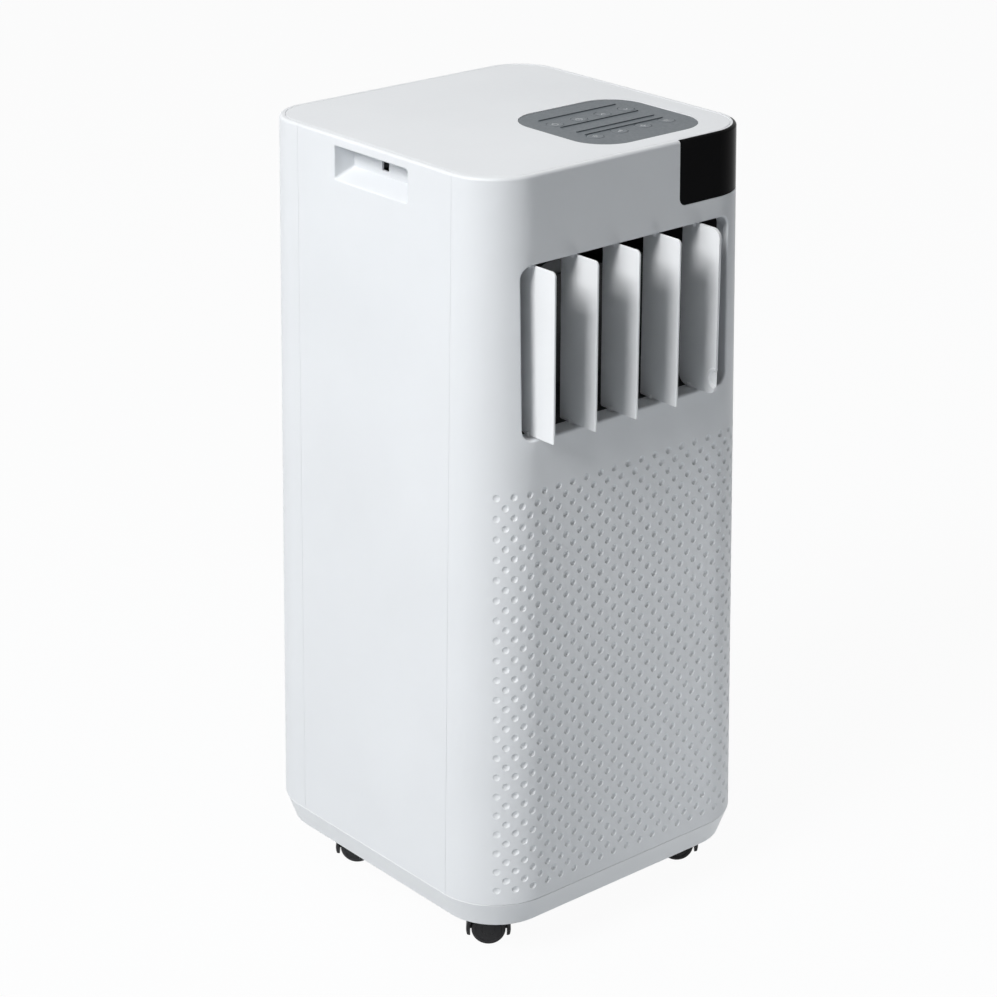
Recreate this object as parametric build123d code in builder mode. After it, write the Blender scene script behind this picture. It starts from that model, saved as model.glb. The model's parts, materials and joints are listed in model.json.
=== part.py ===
"""Portable air conditioner on casters. Millimetres, floor at z = 0, front towards -Y, +X to its right."""

import math
import os

from build123d import *

# Cabinet: drafted walls that stand on a base and carry a flush cover
cabinet_width = 284.2
cabinet_depth = 288.2
cabinet_height = 678
wall_draft = 1.15
front_corner = 45
rear_corner = 40
wall = 3
rim_width = 5
rim_round = 2.5
ledge_width = 4
ledge_thickness = 4
cover_thickness = 6
cover_gap = 0.4
front_seam_setback = 42.5
rear_seam_setback = 51.6
seam_gap = 0.6
lap_width = 8
lap_thickness = 2

# Base pan
underside = 39
base_top = 63
base_inset = 8
base_wall = 3
base_round = 2
upstand_height = 14
upstand_root = 6
upstand_gap = 0.3

# Hand pockets in the side panels
pocket_width = 92
pocket_middle = -2
pocket_drop = 8.3
pocket_tall = 26.7
pocket_floor_rise = 13
pocket_depth = 20
pocket_wall = 2
pocket_slot_width = 9
pocket_slot_height = 4
pocket_slot_middle = -25

# Air outlet and its vanes
outlet_side = 32.6
outlet_height = 141
outlet_below_display = 17.5
outlet_corner = 10
outlet_round = 2.5
lip_wall = 3
lip_depth = 12.7
vane_count = 5
vane_thickness = 2.2
vane_front = 30
vane_rear = 12.2
vane_gap = 1
vane_corner = 4
lead_vane_corner = 8
vane_rear_corner = 9
vane_setback = 6.7
vane_boss_radius = 2.6
vane_boss = 5
pivot_radius = 2
pivot_clearance = 0.05
crank_radius = 9
crank_angle = 45
crank_width = 7
crank_thickness = 2.4
crank_pin_radius = 1.75
crank_pin_clearance = 0.15
crank_lift = 0.5
link_width = 8
link_thickness = 2.4
link_lift = 0.3
link_overrun = 0.6
finger_notch_radius = 6
finger_notch_height = 16

# Control panel with eight keys, over its circuit board
panel_width = 123
panel_depth = 118
panel_corner = 32
panel_side = 89.6
panel_setback = 82.1
panel_thickness = 3
panel_gap = 0.2
panel_ledge = 6
ridge_width = 1.2
ridge_height = 0.4
ridge_span = 84
ridge_places = (37, 10, -9, -19)
key_radius = 7
key_clearance = 0.3
key_proud = 0.3
key_pitch = 25.6
key_row_pitch = 47.8
key_row_offset = -3.4
key_flange = 1.5
key_flange_thickness = 1
key_travel = 0.8
key_play = 0.2
board_thickness = 1.6
board_drop = 3
board_margin = 2
board_post_radius = 3
switch_size = 6

# Display window round the front right corner
display_side = 88.1
display_tall = 53
display_corner = 6.5
display_wrap = 26.1
display_gap = 0.15
window_thickness = 3
window_rib = 4
pad_thickness = 2
pad_margin = 6
digits_side = 67.1
digits_rise = 26
digits_width = 34
digits_tall = 22
digits_gap = 1
digit_board_margin = 5

# Rear panel: filter opening, exhaust, lower intake slots, drain and cord gland
filter_side = 44.1
filter_tall = 150
filter_drop = 125
filter_corner = 8
filter_gap = 0.3
filter_slots = 15
filter_slot = 5
filter_border = 10
filter_tab_width = 14
filter_tab_reach = 4
filter_tab_thickness = 1.5
mesh_thickness = 3
mesh_border = 7
mesh_rows = 3
mesh_columns = 4
mesh_rib = 4
exhaust_drop = 97.5
exhaust_bore = 65
exhaust_wall = 4
exhaust_flange = 14
exhaust_flange_thickness = 3
exhaust_reach = 15.6
exhaust_tail = 6
exhaust_fit = 0.1
slot_rows = 11
slot_side = 54.1
slot_first = 108
slot_margin = 42
slot_share = 6 / 13
drain_side = 72.1
gland_side = 56.1
service_height = 90
drain_radius = 7
drain_head = 4
drain_head_thickness = 4
drain_depth = 12
gland_radius = 9
gland_bore = 4.2
gland_head = 4
gland_head_thickness = 5
gland_depth = 10
screw_places = (-66, 0, 66)
screw_height = 71
screw_radius = 1.75
screw_clearance = 0.35
screw_head = 4
screw_head_thickness = 2.4
screw_length = 12

# Blower sections, coils and refrigerant parts
tray_thickness = 3
tray_gap = 1
rim_gap = 4
shelf_width = 10
shelf_thickness = 4
duct_wall = 2.5
duct_back = -60
blower_depth = 90
blower_wall = 3
blower_margin = 3
blower_round = 66
blower_channel = 44
blower_foot = 60
wheel_radius = 56
wheel_depth = 42
wheel_plate = 2
wheel_ring = 6
wheel_hub = 9
wheel_blades = 18
blade_length = 16
blade_thickness = 1.6
blade_lean = 35
inlet_radius = 50
motor_radius = 34
motor_depth = 30
shaft_radius = 4
shaft_fit = 0.05
wheel_setback = 5
lower_blower_front = 0
lower_blower_depth = 78
lower_blower_middle = 125
lower_blower_round = 76
lower_blower_top = 218
lower_wheel_radius = 62
riser_width = 150
riser_wall = 3
riser_gap = 17.5
spout_step = 1
pipe_radius = 4
pipe_bend = 16
pipe_gap = 7
discharge_rise = 18
suction_offset = 20
suction_rise = 34.5
suction_spacing = 32
suction_hole = 8
coil_fins = 24
fin_thickness = 2
fin_depth = 4
coil_end = 3
evaporator_side = 40.1
evaporator_depth = 30
evaporator_tall = 160
evaporator_front = 92
condenser_side = 44.1
condenser_depth = 36
condenser_gap = 26
condenser_front = 92
compressor_share = 33 / 144.1
compressor_side_share = 40 / 142.1
compressor_radius = 48
compressor_tall = 178
compressor_dome = 18
foot_reach = 58
foot_thickness = 3
grommet_radius = 9
grommet_tall = 14
post_tall = 8
post_radius = 8
accumulator_radius = 19
accumulator_tall = 120
accumulator_gap = 6
strap_tall = 16
power_box_width = 120
power_box_depth = 64
power_box_tall = 34
power_box_wall = 2.5
power_box_x = -19
capacitor_radius = 16
capacitor_tall = 46
capacitor_x = 86

# Casters
caster_side_inset = 32.1
caster_end_inset = 53.1
caster_heading = -40.3
caster_trail = 9
roller_radius = 14.5
roller_width = 10
roller_round = 1.5
roller_gap = 0.6
hood_radius = 19
hood_clearance = 1.7
hood_skirt = 9.5
hood_web = 4
hood_side = 0.5
neck_radius = 8
neck_rise = 8
neck_gap = 0.3
stem_radius = 3.9
stem_length = 17
stem_fit = 0.05
socket_wall = 4
axle_radius = 2
axle_fit = 0.05

# Places worked out from the sizes above
wall_lean = math.radians(wall_draft)
front_rim = -cabinet_depth / 2
rear_rim = cabinet_depth / 2
side_rim = cabinet_width / 2
outlet_width = 2 * (side_rim - outlet_side)
panel_x = side_rim - panel_side
display_left = side_rim - display_side
digits_x = side_rim - digits_side
filter_width = 2 * (side_rim - filter_side)
slot_width = 2 * (side_rim - slot_side)
drain_x = side_rim - drain_side
gland_x = gland_side - side_rim
evaporator_width = 2 * (side_rim - evaporator_side)
condenser_width = 2 * (side_rim - condenser_side)
compressor_x = -cabinet_width * compressor_side_share
front_seam = front_rim + front_seam_setback
rear_seam = rear_rim - rear_seam_setback
lip_back = front_rim + lip_depth
vane_pivot_y = front_rim + vane_setback
panel_y = front_rim + panel_setback
key_row_middle = panel_y + key_row_offset
display_back = front_rim + display_wrap
compressor_y = -cabinet_depth * compressor_share
caster_x = side_rim - caster_side_inset
caster_y = rear_rim - caster_end_inset
cover_seat = cabinet_height - cover_thickness
ledge_low = cover_seat - ledge_thickness
pocket_high = cabinet_height - pocket_drop
pocket_low = pocket_high - pocket_tall
pocket_back_low = pocket_low + pocket_floor_rise
display_bottom = cabinet_height - display_tall
digits_height = display_bottom + digits_rise
filter_height = cabinet_height - filter_drop
outlet_high = display_bottom - outlet_below_display
outlet_low = outlet_high - outlet_height
outlet_middle = (outlet_low + outlet_high) / 2
base_floor = underside + base_wall
vane_pitch = (outlet_width - 2 * vane_gap) / vane_count
first_pivot = -outlet_width / 2 + vane_gap + vane_rear + vane_thickness / 2
pivot_places = [first_pivot + vane_pitch * number for number in range(vane_count)]
tray_top = outlet_low - blower_margin
tray_low = tray_top - tray_thickness
exhaust_height = tray_low - exhaust_drop
riser_top = tray_low - riser_gap
spout_low = exhaust_height - exhaust_bore - spout_step - riser_wall
condenser_top = spout_low - condenser_gap
condenser_tall = condenser_top - base_floor
slot_last = exhaust_height - exhaust_bore - exhaust_wall - exhaust_flange - slot_margin
slot_pitch = (slot_last - slot_first) / (slot_rows - 1)
slot_tall = slot_pitch * slot_share
slots_height = (slot_first + slot_last) / 2
discharge_x = -riser_width / 2 - pipe_radius - pipe_gap
suction_x = -evaporator_width / 2 - suction_offset
suction_high = tray_top + suction_rise
reach_past = 20


def spread(height):
    """How far the drafted walls stand out from their place at the rim."""
    return (cabinet_height - height) * math.tan(wall_lean)


def through(inset):
    """Distance square to the drafted walls for an inset measured level."""
    return inset * math.cos(wall_lean)


def rounded_block(grow, low, high, taper):
    """Rounded block on the cabinet's outline, grown by grow at its low end."""
    with BuildPart() as block:
        with BuildSketch(Plane.XY.offset(low)):
            Rectangle(cabinet_width + 2 * grow, cabinet_depth + 2 * grow)
            fillet(vertices().group_by(Axis.Y)[0], front_corner + grow)
            fillet(vertices().group_by(Axis.Y)[-1], rear_corner + grow)
        extrude(amount=high - low, taper=taper)
    return block.part


def cabinet_block(inset, low, high):
    """Block bounded by the drafted walls, moved in by inset, between two heights."""
    return rounded_block(spread(low) - inset, low, high, wall_draft)


def front_plane(height, inset=0):
    """Plane on the drafted front wall, facing out, X to the right and Y up the wall."""
    place = (0, -cabinet_depth / 2 - spread(height), height)
    outward = (0, -math.cos(wall_lean), math.sin(wall_lean))
    return Plane(origin=place, x_dir=(1, 0, 0), z_dir=outward).offset(-through(inset))


def rear_plane(height, inset=0):
    """Plane on the drafted rear wall, facing out, X towards -X and Y up the wall."""
    place = (0, cabinet_depth / 2 + spread(height), height)
    outward = (0, math.cos(wall_lean), math.sin(wall_lean))
    return Plane(origin=place, x_dir=(-1, 0, 0), z_dir=outward).offset(-through(inset))


def finish(piece, name):
    """Label a finished piece and write it."""
    piece.part.label = name
    export_step(piece.part, f"parts/{name}.step")


os.makedirs("parts", exist_ok=True)

# Outer form with its rounded rim, then the hollow shell that the panels are cut from
with BuildPart() as outer_form:
    add(cabinet_block(0, base_top, cabinet_height))
    fillet(faces().sort_by(Axis.Z)[-1].outer_wire().edges(), rim_round)

with BuildPart() as shell:
    add(outer_form.part)
    add(cabinet_block(wall, base_top - reach_past, ledge_low), mode=Mode.SUBTRACT)
    add(cabinet_block(rim_width + ledge_width, ledge_low - reach_past, cover_seat), mode=Mode.SUBTRACT)
    add(cabinet_block(rim_width, cover_seat, cabinet_height + reach_past), mode=Mode.SUBTRACT)


def skin(inset, depth, low, high):
    """Layer under the drafted walls, from inset to inset plus depth."""
    with BuildPart() as layer:
        add(cabinet_block(inset, low, high))
        add(cabinet_block(inset + depth, low - reach_past, high + reach_past), mode=Mode.SUBTRACT)
    return layer.part


# Base pan with its upstand, caster sockets and compressor posts
caster_places = [(x, y) for y in (-caster_y, caster_y) for x in (-caster_x, caster_x)]
foot_turns = [math.radians(turn) for turn in (30, 150, 270)]
foot_places = [
    (compressor_x + foot_reach * math.cos(turn), compressor_y + foot_reach * math.sin(turn))
    for turn in foot_turns
]
base_lean = math.degrees(math.atan(base_inset / (base_top - underside)))
base_grow = spread(base_top) - base_inset
floor_grow = base_grow - base_wall + base_inset * base_wall / (base_top - underside)
standing = (Align.CENTER, Align.CENTER, Align.MIN)
socket_depth = stem_length + base_wall / 2
with BuildPart() as base_pan:
    add(rounded_block(base_grow, underside, base_top, -base_lean))
    fillet(faces().sort_by(Axis.Z)[0].outer_wire().edges(), base_round)
    add(rounded_block(floor_grow, base_floor, base_top + reach_past, -base_lean), mode=Mode.SUBTRACT)
    add(skin(wall + upstand_gap, base_wall, base_top - upstand_root, base_top + upstand_height))
    with Locations(*[(x, y, base_floor) for x, y in caster_places]):
        Cylinder(stem_radius + stem_fit + socket_wall, socket_depth, align=standing)
    with Locations(*[(x, y, base_floor) for x, y in foot_places]):
        Cylinder(post_radius, post_tall, align=standing)
    with Locations(*[(x, y, underside) for x, y in caster_places]):
        Cylinder(stem_radius + stem_fit, socket_depth, align=standing, mode=Mode.SUBTRACT)
    with BuildSketch(rear_plane(screw_height)):
        with Locations(*[(x, 0) for x in screw_places]):
            Circle(screw_radius)
    extrude(amount=-reach_past, mode=Mode.SUBTRACT)
finish(base_pan, "base_pan")

# Display window and the recess that it lies in
with BuildPart() as display_recess:
    with BuildSketch(Plane.XZ.offset(-display_back)):
        with Locations((display_left, display_bottom)):
            Rectangle(cabinet_width, cabinet_height, align=(Align.MIN, Align.MIN))
        fillet(vertices().group_by(Axis.X)[0].sort_by(Axis.Y)[:1], display_corner)
    extrude(amount=cabinet_depth)
    add(
        cabinet_block(window_thickness, base_top, cabinet_height + reach_past), mode=Mode.SUBTRACT
    )

with BuildPart() as display_window:
    with BuildSketch(Plane.XZ.offset(-display_back + display_gap)):
        with Locations((display_left + display_gap, display_bottom + display_gap)):
            Rectangle(cabinet_width, cabinet_height, align=(Align.MIN, Align.MIN))
        fillet(vertices().group_by(Axis.X)[0].sort_by(Axis.Y)[:1], display_corner - display_gap)
    extrude(amount=cabinet_depth)
    add(outer_form.part, mode=Mode.INTERSECT)
    add(
        cabinet_block(
            window_thickness - display_gap, display_bottom - reach_past, cabinet_height + reach_past
        ),
        mode=Mode.SUBTRACT,
    )
    with BuildSketch(front_plane(digits_height, window_thickness)):
        with Locations((digits_x, 0)):
            with GridLocations(0, digits_tall + 2 * window_rib, 1, 2):
                Rectangle(digits_width, window_rib)
    extrude(amount=through(2 * display_gap))
finish(display_window, "display_window")

# Front panel: outlet with its inward lip, vane bearings and the backing of the display window
with BuildPart() as outlet_lip:
    with BuildSketch(Plane.XZ.offset(-lip_back)):
        with Locations((0, outlet_middle)):
            RectangleRounded(
                outlet_width + 2 * lip_wall, outlet_height + 2 * lip_wall, outlet_corner + lip_wall
            )
    extrude(amount=cabinet_depth)
    add(outer_form.part, mode=Mode.INTERSECT)

with BuildPart() as window_pad:
    add(skin(window_thickness, pad_thickness, display_bottom - pad_margin, cover_seat))
    with Locations((display_left - pad_margin, display_back + pad_margin, base_top)):
        Box(
            cabinet_width,
            cabinet_depth,
            cabinet_height,
            align=(Align.MIN, Align.MAX, Align.MIN),
            mode=Mode.INTERSECT,
        )

with BuildPart() as front_panel:
    add(shell.part)
    split(bisect_by=Plane.XZ.offset(seam_gap / 2 - front_seam), keep=Keep.TOP)
    add(outlet_lip.part)
    with BuildSketch(Plane.XZ.offset(-lip_back - reach_past)):
        with Locations((0, outlet_middle)):
            RectangleRounded(outlet_width, outlet_height, outlet_corner)
    extrude(amount=cabinet_depth, mode=Mode.SUBTRACT)
    mouth_edges = edges().filter_by_position(Axis.Y, -cabinet_depth, wall - cabinet_depth / 2)
    mouth_edges = mouth_edges.filter_by_position(Axis.Z, outlet_low - wall, outlet_high + wall)
    mouth_half = outlet_width / 2 + wall
    fillet(mouth_edges.filter_by_position(Axis.X, -mouth_half, mouth_half), outlet_round)
    add(window_pad.part)
    add(display_recess.part, mode=Mode.SUBTRACT)
    with BuildSketch(front_plane(digits_height)):
        with Locations((digits_x, 0)):
            Rectangle(digits_width, digits_tall)
    extrude(amount=-reach_past, mode=Mode.SUBTRACT)
    with Locations(*[(x, vane_pivot_y, outlet_middle) for x in pivot_places]):
        Cylinder(
            pivot_radius + pivot_clearance, outlet_height + 2 * reach_past, mode=Mode.SUBTRACT
        )
finish(front_panel, "front_panel")

# Display board behind the window, with its block of digits
with BuildPart() as display_board:
    with BuildSketch(front_plane(digits_height, window_thickness + pad_thickness)):
        with Locations((digits_x, 0)):
            Rectangle(digits_width + 2 * digit_board_margin, digits_tall + 2 * digit_board_margin)
    extrude(amount=-board_thickness)
    with BuildSketch(front_plane(digits_height, window_thickness + pad_thickness)):
        with Locations((digits_x, 0)):
            Rectangle(digits_width - 2 * digits_gap, digits_tall - 2 * digits_gap)
    extrude(amount=through(pad_thickness))
finish(display_board, "display_board")

# Side panels with hand pocket, seam laps and the shelf of the drip tray
pocket_face = cabinet_width / 2 + spread(pocket_low)


def pocket_section(grow):
    """Section of the hand pocket, grown on its inner sides."""
    floor_low = pocket_low - grow
    floor_back = pocket_back_low - grow
    back = pocket_face - pocket_depth - grow
    outside = pocket_face + reach_past
    points = [(outside, floor_low), (pocket_face, floor_low), (back, floor_back)]
    return points + [(back, pocket_high + grow), (outside, pocket_high + grow)]


def seam_strip(seam):
    """Lap behind the wall on both sides of a seam, on the right half of the cabinet."""
    with BuildPart() as strip:
        add(skin(wall, lap_thickness, base_top + upstand_height + lap_width, ledge_low - lap_width))
        with Locations((0, seam, 0)):
            Box(
                cabinet_width,
                2 * lap_width,
                cabinet_height,
                align=(Align.MIN, Align.CENTER, Align.MIN),
                mode=Mode.INTERSECT,
            )
    return strip.part


with BuildPart() as tray_shelf:
    add(cabinet_block(wall / 2, tray_low - shelf_thickness, tray_low))
    with Locations((cabinet_width / 2 - shelf_width, front_seam + 2 * lap_width, 0)):
        Box(
            cabinet_width,
            rear_seam - front_seam - 4 * lap_width,
            cabinet_height,
            align=(Align.MIN, Align.MIN, Align.MIN),
            mode=Mode.INTERSECT,
        )

with BuildPart() as right_side_panel:
    add(shell.part)
    split(bisect_by=Plane.XZ.offset(-seam_gap / 2 - front_seam), keep=Keep.BOTTOM)
    split(bisect_by=Plane.XZ.offset(seam_gap / 2 - rear_seam), keep=Keep.TOP)
    split(bisect_by=Plane.YZ, keep=Keep.TOP)
    with BuildSketch(Plane.XZ.offset(-pocket_middle)):
        with BuildLine():
            Polyline(*pocket_section(pocket_wall), close=True)
        make_face()
    extrude(amount=pocket_width / 2 + pocket_wall, both=True)
    add(outer_form.part, mode=Mode.INTERSECT)
    with BuildSketch(Plane.XZ.offset(-pocket_middle)):
        with BuildLine():
            Polyline(*pocket_section(0), close=True)
        make_face()
    extrude(amount=pocket_width / 2, both=True, mode=Mode.SUBTRACT)
    with Locations((pocket_face - pocket_depth, pocket_slot_middle, pocket_high)):
        Box(
            4 * pocket_wall,
            pocket_slot_width,
            pocket_slot_height,
            align=(Align.CENTER, Align.CENTER, Align.MAX),
            mode=Mode.SUBTRACT,
        )
    add(seam_strip(front_seam))
    add(seam_strip(rear_seam))
    add(tray_shelf.part)
finish(right_side_panel, "right_side_panel")

with BuildPart() as left_side_panel:
    mirror(right_side_panel.part, about=Plane.YZ)
finish(left_side_panel, "left_side_panel")

# Rear panel with its openings
with BuildPart() as rear_panel:
    add(shell.part)
    split(bisect_by=Plane.XZ.offset(-seam_gap / 2 - rear_seam), keep=Keep.BOTTOM)
    with BuildSketch(rear_plane(filter_height)):
        RectangleRounded(filter_width, filter_tall, filter_corner)
    extrude(amount=-reach_past, mode=Mode.SUBTRACT)
    with BuildSketch(rear_plane(exhaust_height)):
        Circle(exhaust_bore + exhaust_wall + exhaust_fit)
    extrude(amount=-reach_past, mode=Mode.SUBTRACT)
    with BuildSketch(rear_plane(slots_height)):
        with GridLocations(0, slot_pitch, 1, slot_rows):
            SlotOverall(slot_width, slot_tall)
    extrude(amount=-reach_past, mode=Mode.SUBTRACT)
    with BuildSketch(rear_plane(service_height)):
        with Locations((drain_x, 0)):
            Circle(drain_radius)
        with Locations((gland_x, 0)):
            Circle(gland_radius)
    extrude(amount=-reach_past, mode=Mode.SUBTRACT)
    with BuildSketch(rear_plane(screw_height)):
        with Locations(*[(x, 0) for x in screw_places]):
            Circle(screw_radius + screw_clearance)
    extrude(amount=-reach_past, mode=Mode.SUBTRACT)
finish(rear_panel, "rear_panel")

# Screws that hold the rear panel to the base pan
with BuildPart() as base_screws:
    for x in screw_places:
        with BuildSketch(rear_plane(screw_height)):
            with Locations((x, 0)):
                Circle(screw_head)
        extrude(amount=screw_head_thickness)
        with BuildSketch(rear_plane(screw_height)):
            with Locations((x, 0)):
                Circle(screw_radius)
        extrude(amount=-screw_length)
    fillet(edges().group_by(Axis.Y)[-1], screw_head_thickness / 2)
finish(base_screws, "base_screws")

# Filter grille that clips into the rear panel, and the filter mesh behind it
filter_slot_pitch = (filter_tall - 2 * filter_border) / filter_slots
with BuildPart() as filter_grille:
    with BuildSketch(rear_plane(filter_height)):
        RectangleRounded(
            filter_width - 2 * filter_gap, filter_tall - 2 * filter_gap, filter_corner - filter_gap
        )
        with GridLocations(0, filter_slot_pitch, 1, filter_slots):
            SlotOverall(filter_width - 2 * filter_border, filter_slot, mode=Mode.SUBTRACT)
    extrude(amount=-through(wall))
    with BuildSketch(rear_plane(filter_height, wall)):
        with GridLocations(filter_width - filter_tab_reach, filter_tall / 2, 2, 2):
            Rectangle(3 * filter_tab_reach, filter_tab_width)
    extrude(amount=-filter_tab_thickness)
finish(filter_grille, "filter_grille")

mesh_width = filter_width - 6 * filter_tab_reach
mesh_tall = filter_tall - 6 * filter_tab_reach
mesh_window_width = (mesh_width - 2 * mesh_border + mesh_rib) / mesh_columns
mesh_window_tall = (mesh_tall - 2 * mesh_border + mesh_rib) / mesh_rows
with BuildPart() as filter_mesh:
    with BuildSketch(rear_plane(filter_height, wall)):
        Rectangle(mesh_width, mesh_tall)
        with GridLocations(mesh_window_width, mesh_window_tall, mesh_columns, mesh_rows):
            Rectangle(mesh_window_width - mesh_rib, mesh_window_tall - mesh_rib, mode=Mode.SUBTRACT)
    extrude(amount=-mesh_thickness)
finish(filter_mesh, "filter_mesh")

# Exhaust collar, drain plug and cord gland
with BuildPart() as exhaust_collar:
    with BuildSketch(rear_plane(exhaust_height)):
        Circle(exhaust_bore + exhaust_wall + exhaust_flange)
    extrude(amount=exhaust_flange_thickness)
    fillet(edges().sort_by(Axis.Y)[-1:], exhaust_flange_thickness / 2)
    with BuildSketch(rear_plane(exhaust_height, wall + exhaust_tail)):
        Circle(exhaust_bore + exhaust_wall)
    extrude(amount=through(wall + exhaust_tail) + exhaust_reach)
    with BuildSketch(rear_plane(exhaust_height, wall + exhaust_tail)):
        Circle(exhaust_bore)
    extrude(amount=through(wall + exhaust_tail) + exhaust_reach, mode=Mode.SUBTRACT)
finish(exhaust_collar, "exhaust_collar")

with BuildPart() as drain_plug:
    with BuildSketch(rear_plane(service_height)):
        with Locations((drain_x, 0)):
            Circle(drain_radius + drain_head)
    extrude(amount=drain_head_thickness)
    fillet(edges().sort_by(Axis.Y)[-1:], drain_head_thickness / 3)
    with BuildSketch(rear_plane(service_height)):
        with Locations((drain_x, 0)):
            Circle(drain_radius)
    extrude(amount=-drain_depth)
finish(drain_plug, "drain_plug")

with BuildPart() as cord_gland:
    with BuildSketch(rear_plane(service_height)):
        with Locations((gland_x, 0)):
            Circle(gland_radius + gland_head)
    extrude(amount=gland_head_thickness)
    fillet(edges().sort_by(Axis.Y)[-1:], gland_head_thickness / 2)
    with BuildSketch(rear_plane(service_height)):
        with Locations((gland_x, 0)):
            Circle(gland_radius)
    extrude(amount=-gland_depth)
    with BuildSketch(rear_plane(service_height, -reach_past)):
        with Locations((gland_x, 0)):
            Circle(gland_bore)
    extrude(amount=-2 * reach_past, mode=Mode.SUBTRACT)
finish(cord_gland, "cord_gland")

# Top cover with the seat of the control panel and the posts of its board
board_top = cover_seat - board_drop
board_width = panel_width - 2 * board_margin
board_depth = panel_depth - 2 * board_margin
post_width = board_width - 2 * board_post_radius
post_depth = board_depth - 2 * board_post_radius
panel_low = cabinet_height - panel_thickness
with BuildPart() as top_cover:
    add(cabinet_block(rim_width + cover_gap, cover_seat, cabinet_height))
    with BuildSketch(Plane.XY.offset(panel_low)):
        with Locations((panel_x, panel_y)):
            RectangleRounded(
                panel_width + 2 * panel_gap, panel_depth + 2 * panel_gap, panel_corner + panel_gap
            )
    extrude(amount=reach_past, mode=Mode.SUBTRACT)
    with BuildSketch(Plane.XY.offset(cover_seat - reach_past)):
        with Locations((panel_x, panel_y)):
            RectangleRounded(
                panel_width - 2 * panel_ledge, panel_depth - 2 * panel_ledge, panel_corner - panel_ledge
            )
    extrude(amount=2 * reach_past, mode=Mode.SUBTRACT)
    with BuildSketch(Plane.XY.offset(cover_seat)):
        with Locations((panel_x, panel_y)):
            with GridLocations(post_width, post_depth, 2, 2):
                Circle(board_post_radius)
    extrude(amount=-board_drop)
finish(top_cover, "top_cover")

# Control panel, its keys and its circuit board
key_places = [
    (panel_x + key_pitch * (column - 1.5), key_row_middle + key_row_pitch * (0.5 - row))
    for row in range(2)
    for column in range(4)
]
with BuildPart() as control_panel:
    with BuildSketch(Plane.XY.offset(panel_low)):
        with Locations((panel_x, panel_y)):
            RectangleRounded(panel_width, panel_depth, panel_corner)
    extrude(amount=panel_thickness)
    with BuildSketch(Plane.XY.offset(cabinet_height)):
        with Locations(*[(panel_x, panel_y + place) for place in ridge_places]):
            SlotOverall(ridge_span, ridge_width)
    extrude(amount=ridge_height)
    with Locations(*[(x, y, cabinet_height) for x, y in key_places]):
        Cylinder(key_radius + key_clearance, 2 * reach_past, mode=Mode.SUBTRACT)
finish(control_panel, "control_panel")

flange_low = panel_low - key_play - key_flange_thickness
for number, (x, y) in enumerate(key_places, start=1):
    with BuildPart() as key:
        with Locations((x, y, flange_low)):
            Cylinder(key_radius + key_flange, key_flange_thickness, align=standing)
            Cylinder(key_radius, cabinet_height + key_proud - flange_low, align=standing)
        fillet(edges().sort_by(Axis.Z)[-1:], key_proud)
    finish(key, f"key_{number}")

switch_top = flange_low - key_travel - key_play
with BuildPart() as control_board:
    with BuildSketch(Plane.XY.offset(board_top - board_thickness)):
        with Locations((panel_x, panel_y)):
            RectangleRounded(board_width, board_depth, board_post_radius)
    extrude(amount=board_thickness)
    with BuildSketch(Plane.XY.offset(board_top)):
        with Locations(*key_places):
            Rectangle(switch_size, switch_size)
    extrude(amount=switch_top - board_top)
finish(control_board, "control_board")

# Outlet vanes with pivots and cranks, and the link bar that ties them
vane_low = outlet_low + vane_gap
vane_high = outlet_high - vane_gap
crank_low = outlet_high + lip_wall + crank_lift
link_low = crank_low + crank_thickness + link_lift
link_high = link_low + link_thickness
crank_turn = math.radians(crank_angle)
crank_step = (crank_radius * math.cos(crank_turn), crank_radius * math.sin(crank_turn))
for number, pivot in enumerate(pivot_places, start=1):
    is_lead = number == vane_count
    with BuildPart() as vane:
        with BuildSketch(Plane.YZ.offset(pivot - vane_thickness / 2)):
            with Locations((vane_pivot_y - vane_front, vane_low)):
                Rectangle(vane_front + vane_rear, vane_high - vane_low, align=(Align.MIN, Align.MIN))
            fillet(vertices().group_by(Axis.X)[-1], vane_rear_corner)
            fillet(vertices().group_by(Axis.X)[0], lead_vane_corner if is_lead else vane_corner)
            if is_lead:
                with Locations((vane_pivot_y - vane_front, vane_low + finger_notch_height)):
                    Circle(finger_notch_radius, mode=Mode.SUBTRACT)
        extrude(amount=vane_thickness)
        with Locations((pivot, vane_pivot_y, vane_low), (pivot, vane_pivot_y, vane_high - vane_boss)):
            Cylinder(vane_boss_radius, vane_boss, align=standing)
        with Locations((pivot, vane_pivot_y, outlet_low - lip_wall)):
            Cylinder(pivot_radius, vane_gap + lip_wall, align=standing)
        with Locations((pivot, vane_pivot_y, vane_high)):
            Cylinder(pivot_radius, crank_low - vane_high, align=standing)
        with BuildSketch(Plane.XY.offset(crank_low)):
            halfway = (pivot + crank_step[0] / 2, vane_pivot_y + crank_step[1] / 2, 0)
            with Locations(Location(halfway, (0, 0, crank_angle))):
                SlotCenterToCenter(crank_radius, crank_width)
        extrude(amount=crank_thickness)
        with Locations((pivot + crank_step[0], vane_pivot_y + crank_step[1], crank_low)):
            Cylinder(crank_pin_radius, link_high + link_overrun - crank_low, align=standing)
    finish(vane, f"vane_{number}")

crank_pins = [(x + crank_step[0], vane_pivot_y + crank_step[1]) for x in pivot_places]
with BuildPart() as vane_link_bar:
    with BuildSketch(Plane.XY.offset(link_low)):
        with Locations(((crank_pins[0][0] + crank_pins[-1][0]) / 2, crank_pins[0][1])):
            SlotCenterToCenter(crank_pins[-1][0] - crank_pins[0][0], link_width)
        with Locations(*crank_pins):
            Circle(crank_pin_radius + crank_pin_clearance, mode=Mode.SUBTRACT)
    extrude(amount=link_thickness)
finish(vane_link_bar, "vane_link_bar")

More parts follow.
